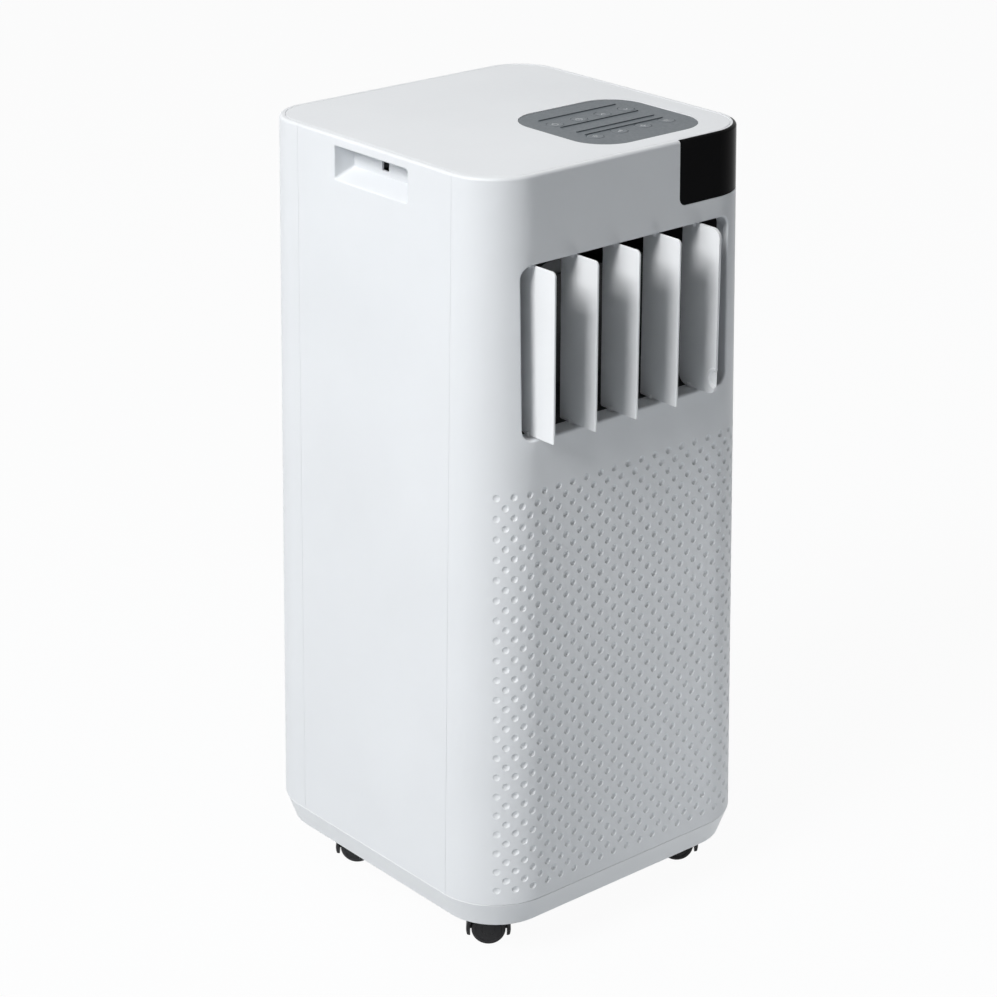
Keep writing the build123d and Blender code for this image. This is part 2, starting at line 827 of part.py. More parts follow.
# Outlet duct from the blower to the lip of the front panel
with BuildPart() as outlet_duct:
    with BuildSketch(Plane.XZ.offset(-duct_back)):
        with Locations((0, outlet_middle)):
            RectangleRounded(
                outlet_width + 2 * duct_wall, outlet_height + 2 * duct_wall, outlet_corner + duct_wall
            )
            RectangleRounded(outlet_width, outlet_height, outlet_corner, mode=Mode.SUBTRACT)
    extrude(amount=duct_back - lip_back)
finish(outlet_duct, "outlet_duct")

# Drip tray that divides the cabinet, with a rim round the evaporator
tray_inset = wall + lap_thickness + tray_gap
suction_y = evaporator_front + evaporator_depth / 2
with BuildPart() as drip_tray:
    add(cabinet_block(tray_inset, tray_low, tray_top))
    split(bisect_by=Plane.XZ.offset(-duct_back), keep=Keep.BOTTOM)
    with BuildSketch(Plane.XY.offset(tray_top)):
        with Locations((0, evaporator_front + evaporator_depth / 2)):
            Rectangle(evaporator_width + 2 * rim_gap, evaporator_depth + 2 * rim_gap)
            offset(amount=tray_thickness, mode=Mode.ADD)
            Rectangle(evaporator_width + 2 * rim_gap, evaporator_depth + 2 * rim_gap, mode=Mode.SUBTRACT)
    extrude(amount=2 * rim_gap)
    with Locations((suction_x, suction_y, tray_top)):
        Cylinder(suction_hole, 4 * tray_thickness, mode=Mode.SUBTRACT)
finish(drip_tray, "drip_tray")


def fan_motor(front, middle):
    """Motor on the front wall of a housing, with its shaft towards the rear."""
    with BuildPart() as motor:
        with BuildSketch(Plane.XZ.offset(-front)):
            with Locations((0, middle)):
                Circle(motor_radius)
        extrude(amount=-motor_depth)
        fillet(edges().sort_by(Axis.Y)[-1:], motor_depth / 6)
        with BuildSketch(Plane.XZ.offset(-front - motor_depth)):
            with Locations((0, middle)):
                Circle(shaft_radius)
        extrude(amount=-(wheel_setback + wheel_hub))
    return motor


def fan_wheel(front, middle, radius, depth):
    """Wheel with leaning blades between a back plate and a ring."""
    with BuildPart() as wheel:
        with BuildSketch(Plane.XZ.offset(-front)):
            with Locations((0, middle)):
                Circle(radius)
        extrude(amount=-wheel_plate)
        with BuildSketch(Plane.XZ.offset(-front)):
            with Locations((0, middle)):
                Circle(wheel_hub)
        extrude(amount=-2 * wheel_hub)
        with BuildSketch(Plane.XZ.offset(-front - wheel_plate)):
            with Locations((0, middle)):
                with PolarLocations(radius - wheel_ring, wheel_blades, start_angle=0):
                    Rectangle(blade_length, blade_thickness, rotation=blade_lean)
                Circle(radius, mode=Mode.INTERSECT)
        extrude(amount=-(depth - wheel_plate))
        with BuildSketch(Plane.XZ.offset(-front - depth + wheel_plate)):
            with Locations((0, middle)):
                Circle(radius)
                Circle(radius - wheel_ring, mode=Mode.SUBTRACT)
        extrude(amount=-wheel_plate)
        with BuildSketch(Plane.XZ.offset(-front + reach_past)):
            with Locations((0, middle)):
                Circle(shaft_radius + shaft_fit)
        extrude(amount=-depth - reach_past, mode=Mode.SUBTRACT)
    return wheel


# Upper blower: a volute on a front plate, whose upper channel feeds the outlet duct
housing_width = outlet_width + 2 * duct_wall
channel_width = outlet_width - 2 * blower_wall
channel_low = outlet_middle + blower_round - blower_channel
housing_top = outlet_middle + blower_round + blower_wall
housing_back = duct_back + blower_depth


def volute_section(grow):
    """Section of the upper volute: a round chamber and the channel over it."""
    with BuildSketch(Plane.XZ) as section:
        with Locations((0, outlet_middle)):
            Circle(blower_round + grow)
        with Locations((0, channel_low - grow)):
            Rectangle(
                channel_width + 2 * grow, blower_channel + 2 * grow, align=(Align.CENTER, Align.MIN)
            )
    return section.sketch


with BuildPart() as upper_blower_housing:
    with BuildSketch(Plane.XZ.offset(-duct_back)):
        with Locations((0, tray_top)):
            Rectangle(
                housing_width, outlet_high + duct_wall - tray_top, align=(Align.CENTER, Align.MIN)
            )
    extrude(amount=-blower_wall)
    extrude(volute_section(blower_wall).moved(Location((0, duct_back, 0))), amount=-blower_depth)
    with Locations((0, duct_back, tray_top)):
        Box(blower_foot, blower_depth, blower_round / 2, align=(Align.CENTER, Align.MIN, Align.MIN))
    extrude(
        volute_section(0).moved(Location((0, duct_back + blower_wall, 0))),
        amount=2 * blower_wall - blower_depth,
        mode=Mode.SUBTRACT,
    )
    with Locations((0, duct_back, channel_low)):
        Box(
            channel_width,
            2 * blower_wall,
            blower_channel,
            align=(Align.CENTER, Align.CENTER, Align.MIN),
            mode=Mode.SUBTRACT,
        )
    with BuildSketch(Plane.XZ.offset(-housing_back)):
        with Locations((0, outlet_middle)):
            Circle(inlet_radius)
    extrude(amount=2 * blower_wall, mode=Mode.SUBTRACT)
finish(upper_blower_housing, "upper_blower_housing")

upper_motor_front = duct_back + blower_wall
upper_fan_motor = fan_motor(upper_motor_front, outlet_middle)
finish(upper_fan_motor, "upper_fan_motor")
upper_fan_wheel = fan_wheel(
    upper_motor_front + motor_depth + wheel_setback, outlet_middle, wheel_radius, wheel_depth
)
finish(upper_fan_wheel, "upper_fan_wheel")

# Lower blower, which draws through the condenser and feeds the exhaust riser
lower_blower_back = lower_blower_front + lower_blower_depth
with BuildPart() as lower_blower_housing:
    with BuildSketch(Plane.XZ.offset(-lower_blower_front)):
        with Locations((0, lower_blower_middle)):
            Circle(lower_blower_round + blower_wall)
            Rectangle(riser_width, lower_blower_top - lower_blower_middle, align=(Align.CENTER, Align.MIN))
        with Locations((0, base_floor)):
            Rectangle(riser_width, lower_blower_round / 2, align=(Align.CENTER, Align.MIN))
    extrude(amount=-lower_blower_depth)
    with BuildSketch(Plane.XZ.offset(-lower_blower_front - blower_wall)):
        with Locations((0, lower_blower_middle)):
            Circle(lower_blower_round)
            Rectangle(
                riser_width - 2 * riser_wall,
                lower_blower_top - lower_blower_middle,
                align=(Align.CENTER, Align.MIN),
            )
    extrude(amount=2 * blower_wall - lower_blower_depth, mode=Mode.SUBTRACT)
    with BuildSketch(Plane.XZ.offset(-lower_blower_back)):
        with Locations((0, lower_blower_middle)):
            Circle(inlet_radius)
    extrude(amount=2 * blower_wall, mode=Mode.SUBTRACT)
finish(lower_blower_housing, "lower_blower_housing")

lower_motor_front = lower_blower_front + blower_wall
lower_fan_motor = fan_motor(lower_motor_front, lower_blower_middle)
finish(lower_fan_motor, "lower_fan_motor")
lower_wheel_front = lower_motor_front + motor_depth + wheel_setback
lower_wheel_depth = lower_blower_back - 2 * blower_wall - lower_wheel_front
lower_fan_wheel = fan_wheel(lower_wheel_front, lower_blower_middle, lower_wheel_radius, lower_wheel_depth)
finish(lower_fan_wheel, "lower_fan_wheel")

# Exhaust riser from the lower blower to the collar
with BuildPart() as exhaust_riser:
    with Locations((0, lower_blower_front, lower_blower_top)):
        Box(
            riser_width,
            lower_blower_depth,
            riser_top - lower_blower_top,
            align=(Align.CENTER, Align.MIN, Align.MIN),
        )
    with BuildSketch(rear_plane(exhaust_height, wall + exhaust_tail)):
        Circle(exhaust_bore + spout_step + riser_wall)
    extrude(amount=lower_blower_front + lower_blower_depth / 2 - cabinet_depth / 2)
    with Locations((0, lower_blower_front + riser_wall, lower_blower_top)):
        Box(
            riser_width - 2 * riser_wall,
            lower_blower_depth - 2 * riser_wall,
            riser_top - lower_blower_top - riser_wall,
            align=(Align.CENTER, Align.MIN, Align.MIN),
            mode=Mode.SUBTRACT,
        )
    with BuildSketch(rear_plane(exhaust_height, wall + exhaust_tail)):
        Circle(exhaust_bore + spout_step)
    extrude(amount=lower_blower_front + lower_blower_depth / 2 - cabinet_depth / 2, mode=Mode.SUBTRACT)
finish(exhaust_riser, "exhaust_riser")


def finned_coil(width, depth, tall, front, low):
    """Coil block with end plates and upright fins on both faces."""
    fin_pitch = (width - 2 * coil_end) / coil_fins
    with BuildPart() as coil:
        with Locations((0, front + fin_depth, low)):
            Box(width, depth - 2 * fin_depth, tall, align=(Align.CENTER, Align.MIN, Align.MIN))
        with Locations((0, front, low)):
            with GridLocations(fin_pitch, 0, coil_fins, 1):
                Box(fin_thickness, depth, tall, align=(Align.CENTER, Align.MIN, Align.MIN))
            with GridLocations(width - coil_end, 0, 2, 1):
                Box(coil_end, depth, tall, align=(Align.CENTER, Align.MIN, Align.MIN))
    return coil


evaporator = finned_coil(
    evaporator_width, evaporator_depth, evaporator_tall, evaporator_front, tray_top
)
finish(evaporator, "evaporator")
condenser = finned_coil(condenser_width, condenser_depth, condenser_tall, condenser_front, base_floor)
finish(condenser, "condenser")

# Compressor on rubber grommets, with its accumulator
grommet_low = base_floor + post_tall
foot_low = grommet_low + grommet_tall
body_low = foot_low + foot_thickness
with BuildPart() as compressor:
    with BuildSketch(Plane.XY.offset(foot_low)):
        with Locations((compressor_x, compressor_y)):
            Circle(compressor_radius)
        for turn, (x, y) in zip(foot_turns, foot_places):
            middle = ((compressor_x + x) / 2, (compressor_y + y) / 2, 0)
            with Locations(Location(middle, (0, 0, math.degrees(turn)))):
                SlotCenterToCenter(foot_reach, 2 * grommet_radius)
    extrude(amount=foot_thickness)
    with Locations((compressor_x, compressor_y, body_low)):
        Cylinder(compressor_radius, compressor_tall, align=standing)
    fillet(edges().sort_by(Axis.Z)[-1:], compressor_dome)
finish(compressor, "compressor")

with BuildPart() as compressor_grommets:
    with Locations(*[(x, y, grommet_low) for x, y in foot_places]):
        Cylinder(grommet_radius, grommet_tall, align=standing)
finish(compressor_grommets, "compressor_grommets")

accumulator_x = compressor_x + compressor_radius + accumulator_gap + accumulator_radius
accumulator_low = body_low + (compressor_tall - accumulator_tall) / 2
with BuildPart() as accumulator:
    with Locations((accumulator_x, compressor_y, accumulator_low)):
        Cylinder(accumulator_radius, accumulator_tall, align=standing)
    fillet(edges().filter_by(GeomType.CIRCLE), accumulator_radius / 2)
    with Locations((compressor_x, compressor_y, accumulator_low + accumulator_tall / 2)):
        Box(
            accumulator_x - compressor_x,
            accumulator_radius,
            strap_tall,
            align=(Align.MIN, Align.CENTER, Align.CENTER),
        )
        Cylinder(compressor_radius, accumulator_tall, mode=Mode.SUBTRACT)
finish(accumulator, "accumulator")


def bent_pipe(points):
    """Tube of the refrigerant circuit along straight runs with equal bends."""
    with BuildPart() as pipe:
        with BuildLine() as route:
            FilletPolyline(*points, radius=pipe_bend)
        with BuildSketch(Plane(origin=route.line @ 0, z_dir=route.line % 0)):
            Circle(pipe_radius)
        sweep(path=route.line)
    return pipe


# Discharge pipe to the condenser and suction pipe from the evaporator
compressor_top = body_low + compressor_tall
pipe_over = max(compressor_top, condenser_top) + discharge_rise
suction_low = pipe_over + suction_spacing
condenser_middle = condenser_front + condenser_depth / 2
discharge_pipe = bent_pipe(
    [
        (discharge_x, compressor_y, compressor_top),
        (discharge_x, compressor_y, pipe_over),
        (discharge_x, condenser_middle, pipe_over),
        (discharge_x, condenser_middle, condenser_top),
    ]
)
finish(discharge_pipe, "discharge_pipe")
suction_pipe = bent_pipe(
    [
        (-evaporator_width / 2, suction_y, suction_high),
        (suction_x, suction_y, suction_high),
        (suction_x, suction_y, suction_low),
        (suction_x, compressor_y, suction_low),
        (accumulator_x, compressor_y, suction_low),
        (accumulator_x, compressor_y, accumulator_low + accumulator_tall),
    ]
)
finish(suction_pipe, "suction_pipe")

# Power box and start capacitor on top of the upper blower
with BuildPart() as power_box:
    with Locations((power_box_x, duct_back + blower_depth / 2, housing_top)):
        Box(power_box_width, power_box_depth, power_box_tall, align=standing)
    shelled = faces().sort_by(Axis.Z)[-1]
    offset(amount=-power_box_wall, openings=shelled)
finish(power_box, "power_box")

with BuildPart() as capacitor:
    with Locations((capacitor_x, duct_back + blower_depth / 2, housing_top)):
        Cylinder(capacitor_radius, capacitor_tall, align=standing)
    fillet(edges().sort_by(Axis.Z)[-1:], capacitor_radius / 8)
finish(capacitor, "capacitor")

# Casters: swivelling hood with stem, two rollers and the axle that carries them
heading = math.radians(caster_heading)
roll = Vector(math.cos(heading), math.sin(heading), 0)
axle_way = Vector(math.sin(heading), -math.cos(heading), 0)
roller_inner = hood_web / 2 + roller_gap
roller_outer = roller_inner + roller_width
axle_half = roller_outer - roller_width / 4
hood_half = roller_outer + hood_side
neck_top = underside - neck_gap
caster_names = ("front_left", "front_right", "rear_left", "rear_right")


def caster_side(x, y, across):
    """Upright plane through a caster's rollers, moved along the axle."""
    place = Vector(x, y, roller_radius) + roll * caster_trail + axle_way * across
    return Plane(origin=place, x_dir=roll, z_dir=axle_way)


for name, (x, y) in zip(caster_names, caster_places):
    with BuildPart() as hood:
        with BuildSketch(caster_side(x, y, -hood_half)):
            Circle(hood_radius)
        extrude(amount=2 * hood_half)
        with Locations((x, y, roller_radius + neck_rise)):
            Cylinder(neck_radius, neck_top - roller_radius - neck_rise, align=standing)
        with Locations((x, y, neck_top)):
            Cylinder(stem_radius, stem_length, align=standing)
        for across in (-hood_half - reach_past, hood_web / 2):
            with BuildSketch(caster_side(x, y, across)):
                Circle(roller_radius + hood_clearance)
            extrude(amount=hood_half + reach_past - hood_web / 2, mode=Mode.SUBTRACT)
        with Locations((x, y, hood_skirt)):
            Box(
                cabinet_width,
                cabinet_depth,
                hood_skirt + reach_past,
                align=(Align.CENTER, Align.CENTER, Align.MAX),
                mode=Mode.SUBTRACT,
            )
        with BuildSketch(caster_side(x, y, -hood_half)):
            Circle(axle_radius + axle_fit)
        extrude(amount=2 * hood_half, mode=Mode.SUBTRACT)
    finish(hood, f"caster_hood_{name}")

    with BuildPart() as rollers:
        for across in (-roller_outer, roller_inner):
            with BuildSketch(caster_side(x, y, across)):
                Circle(roller_radius)
            extrude(amount=roller_width)
        fillet(edges().filter_by(GeomType.CIRCLE), roller_round)
        with BuildSketch(caster_side(x, y, -axle_half)):
            Circle(axle_radius)
        extrude(amount=2 * axle_half, mode=Mode.SUBTRACT)
    finish(rollers, f"caster_rollers_{name}")

    with BuildPart() as axle:
        with BuildSketch(caster_side(x, y, -axle_half)):
            Circle(axle_radius)
        extrude(amount=2 * axle_half)
    finish(axle, f"caster_axle_{name}")
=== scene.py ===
import json
import math
import re

import bmesh
import bpy
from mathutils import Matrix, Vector


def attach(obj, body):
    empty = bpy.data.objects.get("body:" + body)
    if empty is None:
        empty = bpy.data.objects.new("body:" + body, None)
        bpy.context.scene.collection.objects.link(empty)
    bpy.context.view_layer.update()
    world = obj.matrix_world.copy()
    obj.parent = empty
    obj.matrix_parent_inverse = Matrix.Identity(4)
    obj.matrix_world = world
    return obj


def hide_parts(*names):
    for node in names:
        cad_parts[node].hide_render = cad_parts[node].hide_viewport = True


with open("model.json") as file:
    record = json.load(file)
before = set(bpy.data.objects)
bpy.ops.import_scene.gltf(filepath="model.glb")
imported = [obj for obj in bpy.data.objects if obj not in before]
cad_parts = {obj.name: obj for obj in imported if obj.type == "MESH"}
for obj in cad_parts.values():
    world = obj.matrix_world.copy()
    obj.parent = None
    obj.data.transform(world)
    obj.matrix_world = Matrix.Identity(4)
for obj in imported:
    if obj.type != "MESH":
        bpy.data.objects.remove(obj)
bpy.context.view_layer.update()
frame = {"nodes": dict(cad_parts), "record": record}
bpy.ops.object.select_all(action="DESELECT")
print("frame loaded:", len(frame["nodes"]), "nodes")

# sizes are in millimetres while a piece is modelled, and each piece is scaled to metres at its end
cabinet = {
    "rimHeight": 678.0, "width": 284.2, "depth": 288.2, "draft": math.radians(1.15),
    "frontRadius": 45.0, "rearRadius": 40.0,
    "frontTurn": 53.0, "rearTurn": 48.0,  # length along the wall for each radian of a corner
    "baseTop": 63.0, "wall": 3.0, "edgeCut": 0.4,
    "rimRound": 2.5, "rimWidth": 5.0,
    "coverSeat": 672.0, "ledgeWidth": 9.0, "ledgeLow": 668.0,
}
rimTop, halfWidth, halfDepth = cabinet["rimHeight"], cabinet["width"] / 2, cabinet["depth"] / 2
frontFlat = halfWidth - cabinet["frontRadius"]
rearFlat = halfWidth - cabinet["rearRadius"]
frontCentre = cabinet["frontRadius"] - halfDepth
rearCentre = halfDepth - cabinet["rearRadius"]
frontArcEnd = frontFlat + cabinet["frontTurn"] * math.pi / 2
rearArcStart = frontArcEnd + rearCentre - frontCentre
rearArcEnd = rearArcStart + cabinet["rearTurn"] * math.pi / 2
halfRound = rearArcEnd + rearFlat


def spread(height):
    return (rimTop - height) * math.tan(cabinet["draft"])


def wallPoint(along, inset, height):
    # place on the drafted wall, measured along it from the middle of the front
    if along > halfRound:
        along -= 2 * halfRound
    if along < -halfRound:
        along += 2 * halfRound
    side = 1 if along >= 0 else -1
    run = abs(along)
    grow = spread(height) - inset
    front = cabinet["frontRadius"] + grow
    rear = cabinet["rearRadius"] + grow
    if run <= frontFlat:
        x, y = run, frontCentre - front
    elif run <= frontArcEnd:
        turn = (run - frontFlat) / cabinet["frontTurn"]
        x, y = frontFlat + front * math.sin(turn), frontCentre - front * math.cos(turn)
    elif run <= rearArcStart:
        x, y = frontFlat + front, frontCentre + run - frontArcEnd
    elif run <= rearArcEnd:
        turn = (run - rearArcStart) / cabinet["rearTurn"]
        x, y = rearFlat + rear * math.cos(turn), rearCentre + rear * math.sin(turn)
    else:
        x, y = rearFlat - run + rearArcEnd, rearCentre + rear
    return Vector((side * x, y, height))


def frontSurface(x, height):
    radius = cabinet["frontRadius"] + spread(height)
    over = max(0.0, abs(x) - frontFlat)
    return frontCentre - math.sqrt(radius * radius - over * over)


# small tools for edit mode
def selectOnly(piece):
    bpy.ops.object.select_all(action="DESELECT")
    piece.select_set(True)
    bpy.context.view_layer.objects.active = piece


def startEdit(piece):
    selectOnly(piece)
    bpy.ops.object.mode_set(mode="EDIT")


def startWhole(piece):
    startEdit(piece)
    bpy.ops.mesh.select_all(action="SELECT")


def endEdit():
    bpy.ops.object.mode_set(mode="OBJECT")


def editWhole(piece, operation, **settings):
    # one operation on the whole mesh
    startWhole(piece)
    operation(**settings)
    endEdit()


def pick(piece, kind, test):
    bpy.ops.mesh.select_mode(type=kind)
    bpy.ops.mesh.select_all(action="DESELECT")
    shape = bmesh.from_edit_mesh(piece.data)
    items = {"VERT": shape.verts, "EDGE": shape.edges, "FACE": shape.faces}[kind]
    for item in items:
        if test(item):
            item.select_set(True)
    shape.select_flush_mode()
    bmesh.update_edit_mesh(piece.data)


def pickEdges(piece, test, border=False):
    # edges with both ends where the test says, and only those of an open border if asked
    pick(
        piece, "EDGE",
        lambda edge: (edge.is_boundary or not border) and all(test(vertex.co) for vertex in edge.verts),
    )


def bevelEdges(piece, test, width, steps, axis=2):
    # edges along one axis with both ends where the test says
    def isMeant(edge):
        way = edge.verts[1].co - edge.verts[0].co
        return abs(way[axis]) > 0.999 * way.length and all(test(vertex.co) for vertex in edge.verts)

    startEdit(piece)
    pick(piece, "EDGE", isMeant)
    bpy.ops.mesh.bevel(offset=width, segments=steps, affect="EDGES")
    endEdit()


def near(a, b):
    return abs(a - b) < 0.01


def slideNew(way):
    bpy.ops.mesh.extrude_region_move(TRANSFORM_OT_translate={"value": tuple(way)})


def slideAlong(stations):
    for before, after in zip(stations, stations[1:]):
        slideNew((after - before, 0, 0))


def slideUp(path):
    # from point to point of a section, (inset, height)
    for before, after in zip(path, path[1:]):
        slideNew((0, after[0] - before[0], after[1] - before[1]))


def mergeDoubles(piece, gap=0.005):
    editWhole(piece, bpy.ops.mesh.remove_doubles, threshold=gap)


def clearScraps(piece):
    # faces with no area and edges with no face
    editWhole(piece, bpy.ops.mesh.dissolve_degenerate, threshold=0.002)
    editWhole(piece, bpy.ops.mesh.delete_loose)


def faceOut(piece):
    editWhole(piece, bpy.ops.mesh.normals_make_consistent, inside=False)


def mirrorMesh(piece):
    across = {"orient_type": "GLOBAL", "constraint_axis": (True, False, False)}
    editWhole(piece, bpy.ops.transform.mirror, center_override=(0, 0, 0), **across)
    editWhole(piece, bpy.ops.mesh.flip_normals)


def keepAbove(piece, place, normal):
    # what lies on the normal's side of a plane, closed there
    editWhole(piece, bpy.ops.mesh.bisect, plane_co=place, plane_no=normal, use_fill=True, clear_inner=True)


def joinAll(pieces):
    selectOnly(pieces[0])
    for piece in pieces[1:]:
        piece.select_set(True)
    bpy.ops.object.join()
    return bpy.context.object


def copyOf(piece):
    selectOnly(piece)
    bpy.ops.object.duplicate(linked=False)
    return bpy.context.object


def useModifier(piece, kind, **settings):
    selectOnly(piece)
    modifier = piece.modifiers.new(kind.lower(), kind)
    for name, value in settings.items():
        setattr(modifier, name, value)
    bpy.ops.object.modifier_apply(modifier=modifier.name)


def cutWith(piece, cutter):
    useModifier(piece, "BOOLEAN", object=cutter, operation="DIFFERENCE", solver="EXACT")
    bpy.data.objects.remove(cutter)


def softenEdges(piece, width, steps=2, angle=50):
    useModifier(
        piece, "BEVEL", width=width, segments=steps, limit_method="ANGLE", angle_limit=math.radians(angle)
    )


def repeatPiece(piece, count, step):
    useModifier(
        piece, "ARRAY", count=count, use_relative_offset=False, use_constant_offset=True,
        constant_offset_displace=step, use_merge_vertices=True, merge_threshold=0.01,
    )


def applyPlace():
    bpy.ops.object.transform_apply(location=True, rotation=True, scale=True)


def moveMesh(piece, place=(0, 0, 0), turn=(0, 0, 0)):
    selectOnly(piece)
    piece.location = place
    piece.rotation_euler = turn
    applyPlace()
    return piece


def drawChain(points, closed=False):
    # one vertex, drawn on from point to point
    bpy.ops.mesh.primitive_plane_add(size=1, location=(0, 0, 0))
    piece = bpy.context.object
    startEdit(piece)
    pick(piece, "VERT", lambda vertex: True)
    bpy.ops.mesh.merge(type="CENTER")
    bpy.ops.mesh.select_all(action="SELECT")
    bpy.ops.transform.translate(value=points[0])
    for before, after in zip(points, points[1:]):
        slideNew(Vector(after) - Vector(before))
    if closed:
        bpy.ops.mesh.select_all(action="SELECT")
        bpy.ops.mesh.edge_face_add()
    endEdit()
    return piece


def wrapRound(piece):
    # x along the wall, y inwards and z up become the real place
    for vertex in piece.data.vertices:
        vertex.co = wallPoint(*vertex.co)
    piece.data.update()
    faceOut(piece)


def sweepWall(section, stations):
    # closed section, (inset, height) all round, drawn along the wall
    piece = drawChain([(stations[0], inset, height) for inset, height in section], closed=True)
    startEdit(piece)
    pick(piece, "FACE", lambda face: True)
    slideAlong(stations)
    endEdit()
    faceOut(piece)
    return piece


def roundSteps(start, end, step=3.6, clear=0.2):
    # places along the wall: close together round the corners, none on the flats
    places = {start, end}
    corners = [(frontFlat, frontArcEnd), (rearArcStart, rearArcEnd)]
    spans = corners + [(-high, -low) for low, high in corners]
    spans += [(2 * halfRound - high, 2 * halfRound - low) for low, high in corners]
    for low, high in spans:
        count = math.ceil((high - low) / step)
        for number in range(count + 1):
            place = low + (high - low) * number / count
            if start + clear < place < end - clear:
                places.add(place)
    return sorted(places)


def ringSweep(section, caps):
    # open section drawn all round the cabinet and closed at two heights
    stations = roundSteps(-halfRound, halfRound)
    piece = drawChain([(stations[0], inset, height) for inset, height in section])
    startWhole(piece)
    slideAlong(stations)
    endEdit()
    wrapRound(piece)
    mergeDoubles(piece)
    startEdit(piece)
    for cap in caps:
        pickEdges(piece, lambda co: near(co.z, cap), border=True)
        bpy.ops.mesh.edge_face_add()
    endEdit()
    faceOut(piece)
    return piece


def roundedBlock(size, radius, axis, place=(0, 0, 0), steps=8, test=lambda co: True):
    bpy.ops.mesh.primitive_cube_add(size=1, location=(0, 0, 0))
    piece = bpy.context.object
    editWhole(piece, bpy.ops.transform.resize, value=size)
    bevelEdges(piece, test, radius, steps, axis)
    return moveMesh(piece, place)


def barBlock(size, axis, place=(0, 0, 0), steps=6):
    # long block with round ends
    return roundedBlock(size, size[3 - axis] / 2 - 0.01, axis, place, steps)


cutLength = 60.0  # cutters reach well through what they cut
lieDown = (math.pi / 2, 0, 0)
lieAcross = (0, math.pi / 2, 0)


def cylinder(radius, length, place=(0, 0, 0), turn=(0, 0, 0), steps=48):
    bpy.ops.mesh.primitive_cylinder_add(
        vertices=steps, radius=radius, depth=length, location=place, rotation=turn
    )
    applyPlace()
    return bpy.context.object


def turnedForm(profile, steps=48):
    # (radius, along) points spun round the y axis
    piece = drawChain([(radius, along, 0) for radius, along in profile])
    editWhole(piece, bpy.ops.mesh.spin, steps=steps, angle=2 * math.pi, center=(0, 0, 0), axis=(0, 1, 0))
    mergeDoubles(piece)
    clearScraps(piece)
    faceOut(piece)
    return piece


def quarterRound(radius, steps=6):
    # offsets (in, up) of a rounded edge from the wall to the flat
    turns = [math.pi / 2 * number / steps for number in range(steps + 1)]
    return [(radius * (1 - math.cos(turn)), radius * math.sin(turn)) for turn in turns]


def mouthBlock(mouth, axis, length, place=(0, 0, 0)):
    # block with the outline of an opening, its rounded rim included
    size = [mouth["width"] + 2 * mouth["round"], mouth["height"] + 2 * mouth["round"]]
    size.insert(axis, length)
    return roundedBlock(size, mouth["corner"] + mouth["round"], axis, place, mouth["cornerSteps"])


def roundedMouth(mouth, axis, inward, depth):
    # a face stepped in over the round of an opening and drawn back, left in edit mode
    piece = mouthBlock(mouth, axis, 1)
    inward = Vector(inward)
    startEdit(piece)
    pick(piece, "FACE", lambda face: face.normal.dot(inward) < 0.9)
    bpy.ops.mesh.delete(type="FACE")
    pick(piece, "FACE", lambda face: True)
    bpy.ops.transform.translate(value=tuple(-0.5 * inward))
    steps = quarterRound(mouth["round"], mouth["roundSteps"])
    for before, after in zip(steps, steps[1:]):
        bpy.ops.mesh.inset(thickness=after[1] - before[1])
        bpy.ops.transform.translate(value=tuple((after[0] - before[0]) * inward))
    slideNew(depth * inward)
    return piece


# shader groups that several finishes share
def addNode(tree, kind, values=None, **settings):
    node = tree.nodes.new("ShaderNode" + kind)
    for name, setting in settings.items():
        setattr(node, name, setting)
    for label, value in (values or {}).items():
        node.inputs[label].default_value = value
    return node


def linkUp(tree, links):
    # each link as node, output, node, input
    for source, output, target, label in links:
        tree.links.new(source.outputs[output], target.inputs[label])


def newGroup(name, setting, kind, value, outputs):
    # a place and one setting go in, and numbers come out
    group = bpy.data.node_groups.new(name, "ShaderNodeTree")
    sockets = group.interface
    sockets.new_socket(name="Vector", in_out="INPUT", socket_type="NodeSocketVector")
    sockets.new_socket(name=setting, in_out="INPUT", socket_type=kind).default_value = value
    for label in outputs:
        sockets.new_socket(name=label, in_out="OUTPUT", socket_type="NodeSocketFloat")
    return group, group.nodes.new("NodeGroupInput"), group.nodes.new("NodeGroupOutput")


def makeMouldedGrain():
    group, source, target = newGroup(
        "mouldedGrain", "Grain Scale", "NodeSocketFloat", 2400.0, ("Height", "Cloud", "Speck")
    )
    grain = addNode(group, "TexNoise", {"Detail": 2})
    cloud = addNode(group, "TexNoise", {"Scale": 7, "Detail": 3})
    speck = addNode(group, "TexNoise", {"Scale": 420, "Detail": 4})
    linkUp(group, [(source, "Grain Scale", grain, "Scale")])
    for noise, label in ((grain, "Height"), (cloud, "Cloud"), (speck, "Speck")):
        linkUp(group, [(source, "Vector", noise, "Vector"), (noise, "Fac", target, label)])
    return group


def makeBrushedLines():
    group, source, target = newGroup(
        "brushedLines", "Stretch", "NodeSocketVector", (40.0, 40.0, 2600.0), ("Line",)
    )
    scale = addNode(group, "VectorMath", operation="MULTIPLY")
    lines = addNode(group, "TexNoise", {"Scale": 1, "Detail": 3})
    linkUp(group, [
        (source, "Vector", scale, 0),
        (source, "Stretch", scale, 1),
        (scale, "Vector", lines, "Vector"),
        (lines, "Fac", target, "Line"),
    ])
    return group


mouldedGrain = makeMouldedGrain()
brushedLines = makeBrushedLines()


def rangeNode(tree, low, high, floor=0.3, ceiling=0.7):
    return addNode(
        tree, "MapRange", {"From Min": floor, "From Max": ceiling, "To Min": low, "To Max": high}
    )


